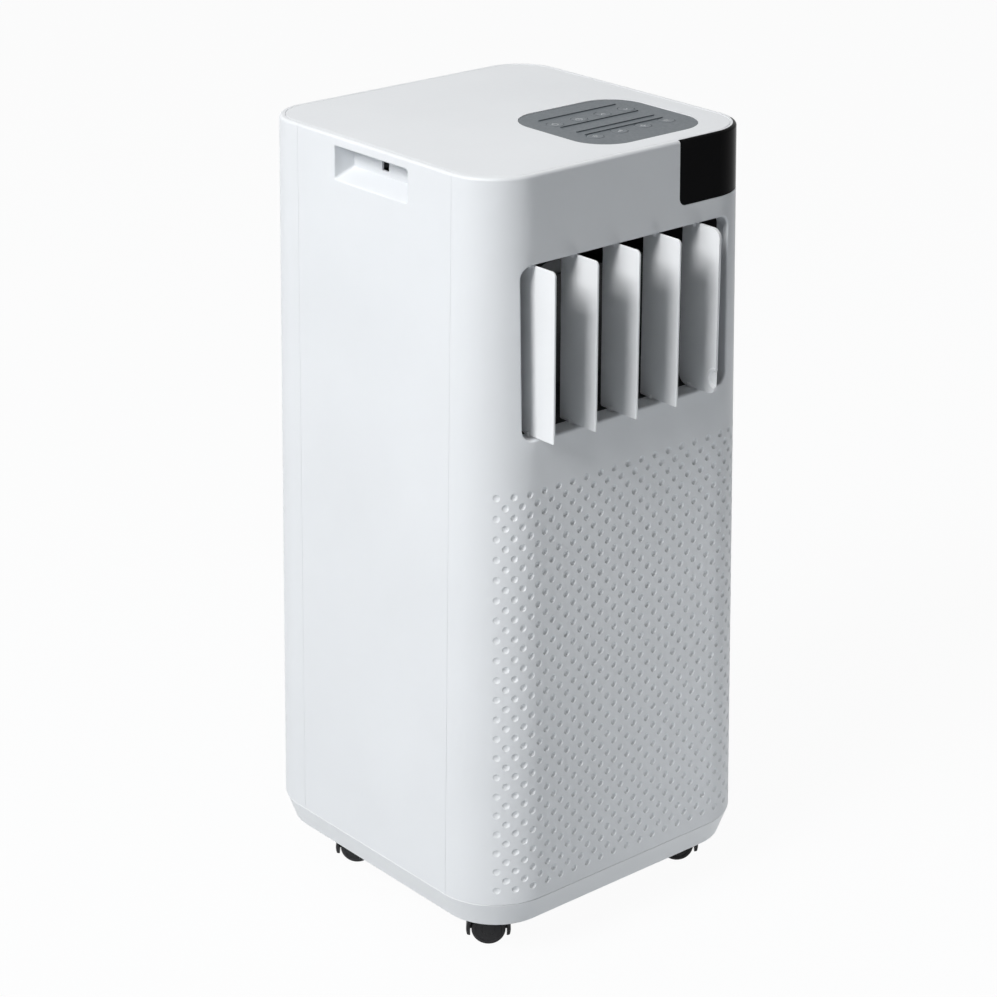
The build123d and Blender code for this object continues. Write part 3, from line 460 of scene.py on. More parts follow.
def startFinish(name, effectGroup, settings, dark, light, rough):
    # what plastics and metals share: an effect, a tint between two tones and a range of roughness
    finish = bpy.data.materials.new(name)
    finish.use_nodes = True
    tree = finish.node_tree
    shader = tree.nodes["Principled BSDF"]
    place = addNode(tree, "TexCoord")
    effect = addNode(tree, "Group", settings, node_tree=effectGroup)
    tint = addNode(tree, "Mix", {"A": (*dark, 1), "B": (*light, 1)}, data_type="RGBA")
    gloss = rangeNode(tree, *rough)
    linkUp(tree, [
        (place, "Object", effect, "Vector"),
        (tint, "Result", shader, "Base Color"),
        (gloss, "Result", shader, "Roughness"),
    ])
    return finish, tree, shader, effect, tint, gloss


def mouldedPlastic(name, dark, light, rough, bump, grain=2400, level=0.5):
    finish, tree, shader, effect, tint, gloss = startFinish(
        name, mouldedGrain, {"Grain Scale": grain}, dark, light, rough
    )
    mottle = rangeNode(tree, 0.0, 1.0)
    relief = addNode(tree, "Bump", {"Strength": bump, "Distance": 0.0004})
    linkUp(tree, [
        (effect, "Cloud", mottle, "Value"),
        (mottle, "Result", tint, "Factor"),
        (effect, "Speck", gloss, "Value"),
        (effect, "Height", relief, "Height"),
        (relief, "Normal", shader, "Normal"),
    ])
    shader.inputs["Specular IOR Level"].default_value = level
    return finish


def bareMetal(name, dark, light, rough, stretch):
    finish, tree, shader, effect, tint, gloss = startFinish(
        name, brushedLines, {"Stretch": stretch}, dark, light, rough
    )
    linkUp(tree, [(effect, "Line", tint, "Factor"), (effect, "Line", gloss, "Value")])
    shader.inputs["Metallic"].default_value = 1.0
    return finish


# darker and lighter tone, roughness, bump, then grain and mirror level where they differ
plastics = {
    "white_shell": ("whiteShell", (0.768, 0.785, 0.804), (0.798, 0.815, 0.834), (0.36, 0.5), 0.05, 2400, 0.3),
    # the white shell's tone made lighter: painted light for the vanes and the base pan, which the lamps light
    # less
    "white_painted_lighter": ("whitePaintedLighter", (0.826, 0.838, 0.85), (0.856, 0.868, 0.88), (0.34, 0.46), 0.04, 2400, 0.3),
    "grey_panel": ("greyPanel", (0.122, 0.14, 0.155), (0.14, 0.158, 0.173), (0.34, 0.46), 0.05, 2400, 0.1),
    "key_grey": ("keyGrey", (0.138, 0.156, 0.171), (0.157, 0.175, 0.19), (0.34, 0.46), 0.04, 2400, 0.1),
    "key_mark": ("keyMark", (0.46, 0.48, 0.5), (0.5, 0.52, 0.54), (0.4, 0.5), 0.02),
    "black_window": (
        "blackWindow", (0.003, 0.003, 0.0034), (0.006, 0.006, 0.0066), (0.08, 0.14), 0.0, 2400, 0.02
    ),
    "board_green": ("boardGreen", (0.02, 0.1, 0.04), (0.03, 0.14, 0.06), (0.3, 0.5), 0.1, 900),
    "dark_duct": ("darkDuct", (0.012, 0.012, 0.013), (0.02, 0.02, 0.022), (0.5, 0.7), 0.1, 1600),
    "grey_inner": ("greyInner", (0.3, 0.31, 0.32), (0.36, 0.37, 0.38), (0.45, 0.6), 0.08, 1600),
    "motor_steel": ("motorPaint", (0.1, 0.105, 0.11), (0.14, 0.145, 0.15), (0.35, 0.5), 0.1, 1200),
    "compressor_black": ("compressorPaint", (0.012, 0.012, 0.012), (0.02, 0.02, 0.02), (0.25, 0.4), 0.1, 900),
    "rubber": ("blackRubber", (0.014, 0.014, 0.015), (0.024, 0.024, 0.025), (0.6, 0.78), 0.2, 1500, 0.3),
    "caster_black": ("casterBlack", (0.016, 0.016, 0.017), (0.026, 0.026, 0.028), (0.34, 0.5), 0.12, 1400, 0.2),
    "roller_black": ("rollerBlack", (0.02, 0.02, 0.021), (0.034, 0.034, 0.036), (0.4, 0.56), 0.12, 1400, 0.2),
}
# darker and lighter tone, roughness, and the stretch of the lines each way
metals = {
    "coil_aluminium": ("coilAluminium", (0.62, 0.63, 0.64), (0.78, 0.79, 0.8), (0.3, 0.5), (2200, 30, 30)),
    "copper_pipe": ("copperPipe", (0.6, 0.3, 0.18), (0.75, 0.42, 0.28), (0.2, 0.4), (300, 300, 300)),
    "steel": ("platedSteel", (0.5, 0.5, 0.51), (0.62, 0.62, 0.63), (0.2, 0.38), (900, 900, 60)),
}
finishes = {slot: mouldedPlastic(*look) for slot, look in plastics.items()}
finishes.update({slot: bareMetal(*look) for slot, look in metals.items()})
slotOf = {row["node"]: row["material_slot"] for row in frame["record"]["subparts"]}
bodyOf = {node: body for body, nodes in frame["record"]["behaviour"]["bodies"].items() for node in nodes}
for nodeName, node in frame["nodes"].items():
    node.data.materials.clear()
    node.data.materials.append(finishes[slotOf[nodeName]])
print("finishes made:", len(finishes))

smoothAngle = math.radians(40)


def finishPiece(piece, name, nodeName=None, finish=None):
    # millimetres to metres, smooth shading, finish and body; frontPanel takes the place of front_panel
    replaced = nodeName is None
    nodeName = nodeName or re.sub("(?<=[a-z])([A-Z0-9])", r"_\1", name).lower()
    selectOnly(piece)
    piece.scale = (0.001, 0.001, 0.001)
    applyPlace()
    bpy.ops.object.shade_smooth_by_angle(angle=smoothAngle)
    useModifier(piece, "WEIGHTED_NORMAL", keep_sharp=True)
    piece.name = name
    piece.data.name = name
    piece.data.materials.clear()
    piece.data.materials.append(finishes[finish or slotOf[nodeName]])
    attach(piece, bodyOf[nodeName])
    if replaced:
        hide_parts(nodeName)


def shellSection():
    # section of a wall from its lower edge over the rim to the inside
    low, top, cut = cabinet["baseTop"], rimTop, cabinet["edgeCut"]
    wall, rim, ledge = cabinet["wall"], cabinet["rimWidth"], cabinet["ledgeWidth"]
    section = [(cut, low), (0.0, low + cut)]
    section += [(inset, top - cabinet["rimRound"] + up) for inset, up in quarterRound(cabinet["rimRound"])]
    section += [(rim - cut, top), (rim, top - cut), (rim, cabinet["coverSeat"]), (ledge, cabinet["coverSeat"])]
    return section + [(ledge, cabinet["ledgeLow"]), (wall, cabinet["ledgeLow"]), (wall, low)]


# the front panel ends on its corner at frontTurn, and the side panel starts at sideTurn
seam = {
    "frontTurn": math.radians(87.24), "sideTurn": math.radians(87.38), "rear": 92.5,
    "gap": 0.14, "edge": 0.15,
    "lap": [(3.05, 85.0), (3.05, 660.0), (5.0, 660.0), (5.0, 85.0)],  # strip behind a seam, by inset and height
    "lapReach": 8.0,
}


def softenSeams(piece, *ends):
    # small round on the upright edges beside a seam, while the wall is still flat
    bevelEdges(piece, lambda co: near(co.y, 0) and any(near(co.x, end) for end in ends), seam["edge"], 2)


dimples = {
    "pitch": 14.85, "columns": 19,  # along a row
    "rise": 17.3, "rows": 21, "top": 422.7,
    "corners": 12,
    "rings": [(3.2, 0.0), (3.0, 0.12), (2.5, 0.95), (1.5, 1.6)],  # radius and depth
    "deepest": 1.8,
    "fade": 0.5,  # share of its depth that a dimple loses towards the end of a row
}


def dimpleCell():
    # one dimple in the middle of its upright cell
    rings, corners = dimples["rings"], dimples["corners"]
    bpy.ops.mesh.primitive_circle_add(
        vertices=corners, radius=rings[0][0], fill_type="NGON", rotation=lieDown
    )
    cell = bpy.context.object
    applyPlace()
    startEdit(cell)
    pick(cell, "FACE", lambda face: True)
    for outer, inner in zip(rings, rings[1:]):
        bpy.ops.mesh.inset(thickness=(outer[0] - inner[0]) * math.cos(math.pi / corners))
        bpy.ops.transform.translate(value=(0, inner[1] - outer[1], 0))
    bpy.ops.mesh.poke()
    pick(cell, "VERT", lambda vertex: math.hypot(vertex.co.x, vertex.co.z) < 0.1)
    bpy.ops.transform.translate(value=(0, dimples["deepest"] - rings[-1][1], 0))
    pick(cell, "EDGE", lambda edge: edge.is_boundary)
    slideNew((0, 0, 0))
    shape = bmesh.from_edit_mesh(cell.data)
    # the new border is set out on the edge of the cell
    halfWide, halfTall = dimples["pitch"] / 4, dimples["rise"] / 2
    border = [(1, 0), (1, 0.5), (1, 1), (0, 1), (-1, 1), (-1, 0.5)]
    border += [(-across, -up) for across, up in border]
    for vertex in shape.verts:
        if vertex.is_boundary:
            turn = math.atan2(vertex.co.z, vertex.co.x) / (2 * math.pi)
            across, up = border[round(turn * corners) % corners]
            vertex.co = (across * halfWide, 0, up * halfTall)
    bmesh.update_edit_mesh(cell.data)
    endEdit()
    return cell


def plainHalfCell(height):
    bpy.ops.mesh.primitive_grid_add(x_subdivisions=2, y_subdivisions=2, size=1, rotation=lieDown)
    cell = bpy.context.object
    cell.scale = (dimples["pitch"] / 2, dimples["rise"] / 2, 1)
    cell.location = (dimples["pitch"] / 2, 0, height)
    applyPlace()
    return cell


def dimpleSheet():
    pitch, rise, top, rows = dimples["pitch"], dimples["rise"], dimples["top"], dimples["rows"]
    start = -pitch * (dimples["columns"] - 1) / 2
    fullColumn = dimpleCell()
    shortColumn = copyOf(fullColumn)
    moveMesh(fullColumn, (0, 0, top))
    moveMesh(shortColumn, (pitch / 2, 0, top - rise / 2))
    repeatPiece(fullColumn, rows, (0, 0, -rise))
    repeatPiece(shortColumn, rows - 1, (0, 0, -rise))
    ends = [plainHalfCell(top + rise / 4), plainHalfCell(top - rise * (rows - 1) - rise / 4)]
    shortColumn = joinAll([shortColumn] + ends)
    repeatPiece(fullColumn, dimples["columns"], (pitch, 0, 0))
    repeatPiece(shortColumn, dimples["columns"] - 1, (pitch, 0, 0))
    sheet = joinAll([fullColumn, shortColumn])
    moveMesh(sheet, (start, 0, 0))
    mergeDoubles(sheet, 0.02)
    # the tool draws straight off the front, so the dimples run out round the corners
    for vertex in sheet.data.vertices:
        over = max(0.0, abs(vertex.co.x) - frontFlat) / (-start - frontFlat)
        vertex.co.y *= max(0.0, 1 - dimples["fade"] * over)
    return sheet


def makeFrontWall():
    # dimpled sheet, run out to the seams, over the rim and back down the inside
    wall = dimpleSheet()
    zoneHalf = dimples["pitch"] * (dimples["columns"] - 1) / 2 + dimples["pitch"] / 4
    zoneTop = dimples["top"] + dimples["rise"] / 2
    zoneLow = zoneTop - dimples["rise"] * dimples["rows"]
    end = frontFlat + cabinet["frontTurn"] * seam["frontTurn"]
    strips = 10
    startEdit(wall)
    for side in (1, -1):
        pickEdges(wall, lambda co: near(co.x, side * zoneHalf))
        for number in range(strips):
            slideNew((side * (end - zoneHalf) / strips, 0, 0))
    section = shellSection()
    upper = [(0.0, zoneTop)] + section[2:] + [section[0]]
    lower = [(0.0, zoneLow), section[1], section[0]]
    for path in (upper, lower):
        pickEdges(wall, lambda co: near(co.z, path[0][1]) and near(co.y, 0), border=True)
        slideUp(path)
    bpy.ops.mesh.select_all(action="SELECT")
    bpy.ops.mesh.remove_doubles(threshold=0.02)
    for side in (1, -1):
        pickEdges(wall, lambda co: near(co.x, side * end), border=True)
        bpy.ops.mesh.edge_face_add()
    endEdit()
    faceOut(wall)
    softenSeams(wall, end, -end)
    wrapRound(wall)
    return wall


outlet = {
    "width": 219.0, "height": 141.0, "middle": 537.0, "back": -131.4, "lipWall": 2.4,
    "corner": 10.0, "cornerSteps": 10, "round": 1.9, "roundSteps": 6,
}


def makeOutletLip():
    lip = roundedMouth(outlet, 1, (0, 1, 0), 1)
    shape = bmesh.from_edit_mesh(lip.data)
    last = {vertex for face in shape.faces if face.select for vertex in face.verts}
    for vertex in shape.verts:
        vertex.co.z += outlet["middle"]
        if vertex in last:
            vertex.co.y = outlet["back"]
        else:
            vertex.co.y += frontSurface(vertex.co.x, vertex.co.z)
    bmesh.update_edit_mesh(lip.data)
    bpy.ops.mesh.delete(type="ONLY_FACE")
    endEdit()
    useModifier(lip, "SOLIDIFY", thickness=outlet["lipWall"], offset=1.0)
    return lip


display = {
    "left": 54.0, "bottom": 625.0, "middle": 651.0, "corner": 6.5, "back": -118.0,
    "gap": 0.15, "thickness": 3.0, "edge": 0.35,
    "seatDepth": 3.05, "seatOut": -4.0, "seatTop": 700.0,  # cut from outside the wall and over the rim
}


def displaySweep(section, grow):
    # a length of wall from the window's left edge round the corner
    middleRadius = cabinet["frontRadius"] + spread(display["middle"])
    endTurn = math.acos((frontCentre - display["back"]) / middleRadius)
    start = display["left"] - grow
    end = frontFlat + cabinet["frontTurn"] * endTurn + grow
    block = sweepWall(section, roundSteps(start, end, 3.0))
    low = min(height for inset, height in section)
    bevelEdges(block, lambda co: near(co.x, start) and near(co.z, low), display["corner"] + grow, 8, 1)
    wrapRound(block)
    return block


frontWall = makeFrontWall()
print("front wall with dimples:", len(frontWall.data.polygons), "faces")
cutWith(frontWall, mouthBlock(outlet, 1, cutLength, (0, -halfDepth, outlet["middle"])))
seatEnds = [(display["seatOut"], display["bottom"]), (display["seatOut"], display["seatTop"])]
seatEnds += [(display["seatDepth"], height) for inset, height in reversed(seatEnds)]
cutWith(frontWall, displaySweep(seatEnds, 0))
finishPiece(joinAll([frontWall, makeOutletLip()]), "frontPanel")
print("front panel done")

windowLow = display["bottom"] + display["gap"]
windowRoll = rimTop - cabinet["rimRound"]
windowSection = [(display["thickness"], windowLow), (0, windowLow)]
windowSection += [(inset, windowRoll + up) for inset, up in quarterRound(cabinet["rimRound"])]
windowSection += [(display["thickness"], rimTop)]
window = displaySweep(windowSection, -display["gap"])
softenEdges(window, display["edge"])
finishPiece(window, "displayWindow")
print("display window done")

pocket = {
    "width": 92.0, "height": 26.7, "middleY": -2.0, "middleZ": 656.35, "depth": 20.0, "wall": 1.6,
    "corner": 2.0, "cornerSteps": 5, "round": 1.2, "roundSteps": 4,
    "floorRise": 7.0, "backReach": 1.5,
    "slotY": (-0.5, 8.5), "slotZ": (654.0, 662.0), "slotDeep": 2.0,
}


def makePocketLiner():
    liner = roundedMouth(pocket, 0, (-1, 0, 0), pocket["depth"] - pocket["round"])
    shape = bmesh.from_edit_mesh(liner.data)
    back = {vertex for face in shape.faces if face.select for vertex in face.verts}
    for vertex in shape.verts:
        vertex.co.y += pocket["middleY"]
        vertex.co.z += pocket["middleZ"]
        if vertex in back and vertex.co.z < pocket["middleZ"]:
            vertex.co.z += pocket["floorRise"]
        vertex.co.x += halfWidth + spread(vertex.co.z)
    bmesh.update_edit_mesh(liner.data)
    # clip slot high on the back wall
    backX = halfWidth - pocket["depth"] + pocket["backReach"]
    slotY, slotZ = pocket["slotY"], pocket["slotZ"]

    def onBack(face):
        return face.calc_center_median().x < backX and abs(face.normal.x) > 0.9

    def inSlot(face):
        middle = face.calc_center_median()
        return onBack(face) and slotY[0] < middle.y < slotY[1] and slotZ[0] < middle.z < slotZ[1]

    planes = [((0, y, 0), (0, 1, 0)) for y in slotY] + [((0, 0, z), (0, 0, 1)) for z in slotZ]
    for place, normal in planes:
        pick(liner, "FACE", onBack)
        bpy.ops.mesh.bisect(plane_co=place, plane_no=normal)
    pick(liner, "FACE", inSlot)
    slideNew((-pocket["slotDeep"], 0, 0))
    bpy.ops.mesh.delete(type="FACE")
    bpy.ops.mesh.select_all(action="SELECT")
    bpy.ops.mesh.flip_normals()
    endEdit()
    useModifier(liner, "SOLIDIFY", thickness=pocket["wall"], offset=-1.0)
    return liner


def shellWall(start, end):
    wall = sweepWall(shellSection(), roundSteps(start, end))
    softenSeams(wall, start, end)
    wrapRound(wall)
    return wall


def makeSideWall():
    # right-hand wall with its pocket and the laps behind its seams
    start = frontFlat + cabinet["frontTurn"] * seam["sideTurn"]
    end = frontArcEnd + seam["rear"] - seam["gap"] / 2 - frontCentre
    wall = shellWall(start, end)
    reach = seam["lapReach"]
    laps = [sweepWall(seam["lap"], roundSteps(middle - reach, middle + reach)) for middle in (start, end)]
    for lap in laps:
        wrapRound(lap)
    place = (halfWidth, pocket["middleY"], pocket["middleZ"])
    cutWith(wall, mouthBlock(pocket, 0, cutLength, place))
    return joinAll([wall] + laps + [makePocketLiner()])


rightWall = makeSideWall()
leftWall = copyOf(rightWall)
mirrorMesh(leftWall)
finishPiece(rightWall, "rightSidePanel")
finishPiece(leftWall, "leftSidePanel")
print("side panels done")

# rear face: pieces are made flat, facing +Y at the origin, and then leant on the wall
rear = {
    "filterWidth": 196.0, "filterTall": 150.0, "filterMiddle": 553.0, "filterCorner": 8.0, "filterGap": 0.3,
    "exhaustMiddle": 363.0, "exhaustHole": 69.1,
    "slotRows": 11, "slotPitch": 13.0, "slotWidth": 176.0, "slotTall": 6.0, "slotsMiddle": 173.0,
    "serviceHeight": 90.0, "drainX": -70.0, "drainHole": 7.0, "glandX": 86.0, "glandHole": 9.0,
    "screwHeight": 71.0, "screwPlaces": (-66.0, 0.0, 66.0), "screwHole": 2.1,
    "cutter": 40.0,
}


def leanOnRear(piece, x, height):
    return moveMesh(piece, (x, halfDepth + spread(height), height), (cabinet["draft"], 0, 0))


def slotRows(width, length, tall, rows, pitch):
    slots = barBlock((width, length, tall), 1, (0, 0, -pitch * (rows - 1) / 2))
    repeatPiece(slots, rows, (0, 0, pitch))
    return slots


def makeRearWall():
    start = frontArcEnd + seam["rear"] + seam["gap"] / 2 - frontCentre
    wall = shellWall(start, 2 * halfRound - start)
    length = rear["cutter"]

    def makeHole(radius, x, height, steps=48):
        cutWith(wall, leanOnRear(cylinder(radius, length, turn=lieDown, steps=steps), x, height))

    seat = roundedBlock((rear["filterWidth"], length, rear["filterTall"]), rear["filterCorner"], 1)
    cutWith(wall, leanOnRear(seat, 0, rear["filterMiddle"]))
    makeHole(rear["exhaustHole"], 0, rear["exhaustMiddle"], 96)
    slots = slotRows(rear["slotWidth"], length, rear["slotTall"], rear["slotRows"], rear["slotPitch"])
    cutWith(wall, leanOnRear(slots, 0, rear["slotsMiddle"]))
    makeHole(rear["drainHole"], rear["drainX"], rear["serviceHeight"])
    makeHole(rear["glandHole"], rear["glandX"], rear["serviceHeight"])
    for x in rear["screwPlaces"]:
        makeHole(rear["screwHole"], x, rear["screwHeight"], 24)
    return wall


finishPiece(makeRearWall(), "rearPanel")
print("rear panel done")

grille = {"slats": 15, "slot": 5.0, "border": 10.0, "thickness": 3.0, "edge": 0.5, "cutter": 20.0}


def makeFilterGrille():
    gap, border, thickness = rear["filterGap"], grille["border"], grille["thickness"]
    size = (rear["filterWidth"] - 2 * gap, thickness, rear["filterTall"] - 2 * gap)
    plate = roundedBlock(size, rear["filterCorner"] - gap, 1, (0, -thickness / 2, 0))
    pitch = (rear["filterTall"] - 2 * border) / grille["slats"]
    width = rear["filterWidth"] - 2 * border
    cutWith(plate, slotRows(width, grille["cutter"], grille["slot"], grille["slats"], pitch))
    softenEdges(plate, grille["edge"])
    return leanOnRear(plate, 0, rear["filterMiddle"])


finishPiece(makeFilterGrille(), "filterGrille")

# turned fittings: (radius, along) with 0 on the face of the rear panel
collar = {
    "x": 0.0, "height": rear["exhaustMiddle"], "steps": 128,
    "profile": [
        (65.0, -9.0), (65.0, 14.8), (65.8, 15.6), (68.2, 15.6), (69.0, 14.8), (69.0, 4.2), (70.2, 3.0),
        (81.6, 3.0), (82.6, 2.6), (83.0, 1.6), (83.0, 0.05), (68.9, 0.05), (68.9, -9.0), (65.0, -9.0),
    ],
}
plug = {
    "x": rear["drainX"], "height": rear["serviceHeight"], "steps": 48,
    "profile": [
        (0, 4.0), (7.4, 4.0), (9.6, 3.6), (10.6, 2.8), (11.0, 1.8), (11.0, 0.05), (6.9, 0.05), (6.9, -11.0),
        (6.0, -12.0), (0, -12.0),
    ],
}
gland = {
    "x": rear["glandX"], "height": rear["serviceHeight"], "steps": 48,
    "profile": [
        (4.2, -10.0), (4.2, 4.4), (4.8, 5.0), (10.4, 5.0), (12.2, 4.2), (13.0, 2.6), (13.0, 0.05),
        (8.9, 0.05), (8.9, -10.0), (4.2, -10.0),
    ],
}


def finishFitting(fitting, name):
    piece = turnedForm(fitting["profile"], fitting["steps"])
    finishPiece(leanOnRear(piece, fitting["x"], fitting["height"]), name)


finishFitting(collar, "exhaustCollar")
finishFitting(plug, "drainPlug")
finishFitting(gland, "cordGland")

screw = {
    "profile": [
        (0, 2.4), (2.2, 2.25), (3.4, 1.7), (4.0, 0.7), (4.0, 0.03), (1.7, 0.03), (1.7, -11.5), (1.2, -12.0),
        (0, -12.0),
    ],
    "steps": 24, "headTop": 2.4,
    "recess": 1.0, "recessLength": 4.2, "recessWidth": 0.9, "recessCorner": 0.2,
}


def makeScrews():
    screws = []
    long, wide, deep = screw["recessLength"], screw["recessWidth"], 2 * screw["recess"]
    for x in rear["screwPlaces"]:
        piece = turnedForm(screw["profile"], screw["steps"])
        for size in ((long, deep, wide), (wide, deep, long)):
            cutWith(piece, roundedBlock(size, screw["recessCorner"], 1, (0, screw["headTop"], 0), steps=2))
        screws.append(leanOnRear(piece, x, rear["screwHeight"]))
    return joinAll(screws)


finishPiece(makeScrews(), "baseScrews")
print("rear fittings done")

base = {
    "low": 39.0, "inset": 8.0, "round": 2.0, "wall": 3.0, "floor": 42.0,
    "lip": [(0.5, 0.9), (0.9, 0.35), (3.0, 0.35)],  # inset of the upper edge and its place below the walls
}


def makeBasePan():
    # skirt drawn all round, closed below and inside
    top, low = cabinet["baseTop"], base["low"]

    def skirtInset(height):
        return spread(height) - spread(top) + base["inset"] * (top - height) / (top - low)

    lowRound = reversed(quarterRound(base["round"], 5))
    section = [(skirtInset(low) + across, low + base["round"] - up) for across, up in lowRound]
    section += [(inset, top - below) for inset, below in base["lip"]]
    section += [(skirtInset(base["floor"]) + base["wall"], base["floor"])]
    return ringSweep(section, (low, base["floor"]))


# the base pan takes the lighter copy of the white shell: painted light on a skirt that faces down and is lit
# less
finishPiece(makeBasePan(), "basePan", finish="white_painted_lighter")
print("base pan done")

cover = {"gap": 0.15, "edge": 0.5, "thickness": 6.0, "seatEdge": 0.35, "cutter": 20.0}
keypad = {
    "width": 123.0, "depth": 118.0, "corner": 32.0, "x": 52.5, "y": -62.0,
    "thickness": 3.0, "lift": 0.02, "gap": 0.2, "sink": 0.5, "edge": 0.35,
    "ridgePlaces": (37.0, 10.0, -9.0, -19.0),
    "ridgeLength": 84.0, "ridgeWidth": 1.3, "ridgeHeight": 0.85, "ridgeEdge": 0.25,
    "keyHole": 7.3, "keyPitch": 25.6, "rowPitch": 47.8, "rowMiddle": -65.4,
}
keyPlaces = [
    (keypad["x"] + keypad["keyPitch"] * (column - 1.5), keypad["rowMiddle"] + keypad["rowPitch"] * (0.5 - row))
    for row in range(2)
    for column in range(4)
]


def makeTopCover():
    inset, edge, gap = cabinet["rimWidth"] + cover["gap"], cover["edge"], keypad["gap"]
    low = rimTop - cover["thickness"]
    section = [(inset, low)] + [(inset + across, rimTop - edge + up) for across, up in quarterRound(edge, 3)]
    plate = ringSweep(section, (low, rimTop))
    size = (keypad["width"] + 2 * gap, keypad["depth"] + 2 * gap, cover["cutter"])
    place = (keypad["x"], keypad["y"], rimTop - keypad["thickness"] + cover["cutter"] / 2)
    cutWith(plate, roundedBlock(size, keypad["corner"] + gap, 2, place, steps=16))
    softenEdges(plate, cover["seatEdge"])
    return plate


finishPiece(makeTopCover(), "topCover")


def makeControlPanel():
    top = rimTop - keypad["sink"]
    thickness = keypad["thickness"] - keypad["sink"]
    place = (keypad["x"], keypad["y"], top - thickness / 2 + keypad["lift"])
    plate = roundedBlock((keypad["width"], keypad["depth"], thickness), keypad["corner"], 2, place, steps=20)
    for x, y in keyPlaces:
        cutWith(plate, cylinder(keypad["keyHole"], cover["cutter"], (x, y, top)))
    softenEdges(plate, keypad["edge"])
    ridges = []
    for y in keypad["ridgePlaces"]:
        size = (keypad["ridgeLength"], keypad["ridgeWidth"], 2 * keypad["ridgeHeight"])
        ridges.append(barBlock(size, 2, (keypad["x"], keypad["y"] + y, top), steps=5))
        softenEdges(ridges[-1], keypad["ridgeEdge"])
    return joinAll([plate] + ridges)


finishPiece(makeControlPanel(), "controlPanel")

key = {
    "top": rimTop - 0.3,
    "dish": [(0, 0.25), (4.6, 0.12), (6.2, 0.0), (6.7, 0.08), (7.0, 0.4)],  # radius and place below the top
    "foot": [(7.0, 674.8), (8.5, 674.8), (8.5, 673.8), (0, 673.8)],
}
keySection = [(radius, key["top"] - below) for radius, below in key["dish"]] + key["foot"]
for number, (x, y) in enumerate(keyPlaces, start=1):
    finishPiece(moveMesh(turnedForm(keySection), (x, y, 0), lieDown), f"key{number}")

# plain pictograms: rings by their radius, bars by x, y, width, height and turn
keyMarks = [
    [("ring", 2.5), ("bar", 0, 2.3, 0.7, 2.4, 0)],
    [("ring", 2.7), ("bar", 0, 0.7, 0.6, 1.8, 0), ("bar", 0.7, 0, 1.6, 0.6, 0)],
    [("bar", -1.05, 0, 0.7, 3.4, -40), ("bar", 1.05, 0, 0.7, 3.4, 40)],
    [("bar", -1.05, 0, 0.7, 3.4, 40), ("bar", 1.05, 0, 0.7, 3.4, -40)],
    [("bar", 0, 0, 0.6, 5.0, turn) for turn in (0, 60, 120)],
    [("bar", -1.8, -1.2, 0.8, 1.6, 0), ("bar", 0, -0.6, 0.8, 2.8, 0), ("bar", 1.8, 0, 0.8, 4.0, 0)],
    [("ring", 1.5)] + [("bar", 0, y, 0.6, 1.0, 0) for y in (2.6, -2.6)]
    + [("bar", x, 0, 1.0, 0.6, 0) for x in (2.6, -2.6)],
    [("bar", 0, y, 5.0, 0.6, 0) for y in (1.5, 0, -1.5)],
]
mark = {"line": 0.32, "flatten": 0.3, "barHeight": 0.2, "barCorner": 0.25, "belowTop": 0.2}


def makeKeyMark(shapes, x, y):
    # a little proud of the dished key
    pieces = []
    for kind, *sizes in shapes:
        if kind == "ring":
            bpy.ops.mesh.primitive_torus_add(
                major_radius=sizes[0], minor_radius=mark["line"], major_segments=40, minor_segments=8
            )
            part = bpy.context.object
            part.scale = (1, 1, mark["flatten"])
            applyPlace()
        else:
            acrossX, acrossY, width, height, turn = sizes
            part = roundedBlock((width, height, mark["barHeight"]), mark["barCorner"], 2, steps=3)
            moveMesh(part, (acrossX, acrossY, 0), (0, 0, math.radians(turn)))
        pieces.append(part)
    return moveMesh(joinAll(pieces), (x, y, key["top"] - mark["belowTop"]))


for number, (x, y) in enumerate(keyPlaces, start=1):
    piece = makeKeyMark(keyMarks[number - 1], x, y)
    finishPiece(piece, f"keyMark{number}", f"key_{number}", "key_mark")
print("top cover, control panel and keys done")

vane = {
    "thickness": 2.2, "front": 30.0, "rear": 12.2, "low": 467.5, "high": 606.5, "edge": 0.7,
    "corner": 4.0, "leadCorner": 8.0, "rearCorner": 2.0, "cornerSteps": 10,
    "endCorner": 9.0,  # rear corners of the outer vanes clear the round corners of the mouth
    "pivotY": -137.4, "firstPivot": -95.2, "pitch": 43.4,
    "boss": 2.6, "bossLength": 3.0, "pivot": 2.0, "pivotLow": 463.5, "overlap": 1.0, "rodEdge": 0.3,
    "crankLow": 611.0, "crankReach": 9.0, "crankWidth": 7.0, "crankThickness": 2.4, "crankTurn": math.pi / 4,
    "pin": 1.75, "pinTop": 616.7,
    "notch": 8.0, "notchHeight": 13.5,
    "web": (0.15, 0.85),  # faces of the thin wall that the notch leaves
    "bead": 1.9, "beadRing": 8.3, "beadCut": 0.4,
}
leadVane = 5


def uprightRod(radius, low, high, x=0.0, y=0.0, steps=32):
    rod = cylinder(radius, high - low, (x, y, (low + high) / 2), steps=steps)
    softenEdges(rod, vane["rodEdge"], angle=60)
    return rod


def makeNotch(plate):
    # finger notch on both sides of a thin wall, with a bead round it
    y, z = -vane["front"], vane["low"] + vane["notchHeight"]
    for x in (vane["web"][0] - cutLength / 2, vane["web"][1] + cutLength / 2):
        cutWith(plate, cylinder(vane["notch"], cutLength, (x, y, z), lieAcross))
    bpy.ops.mesh.primitive_torus_add(
        location=(0, y, z), rotation=lieAcross, major_radius=vane["beadRing"], minor_radius=vane["bead"],
        major_segments=48, minor_segments=12,
    )
    bead = bpy.context.object
    applyPlace()
    keepAbove(bead, (0, y + vane["beadCut"], 0), (0, 1, 0))
    return bead


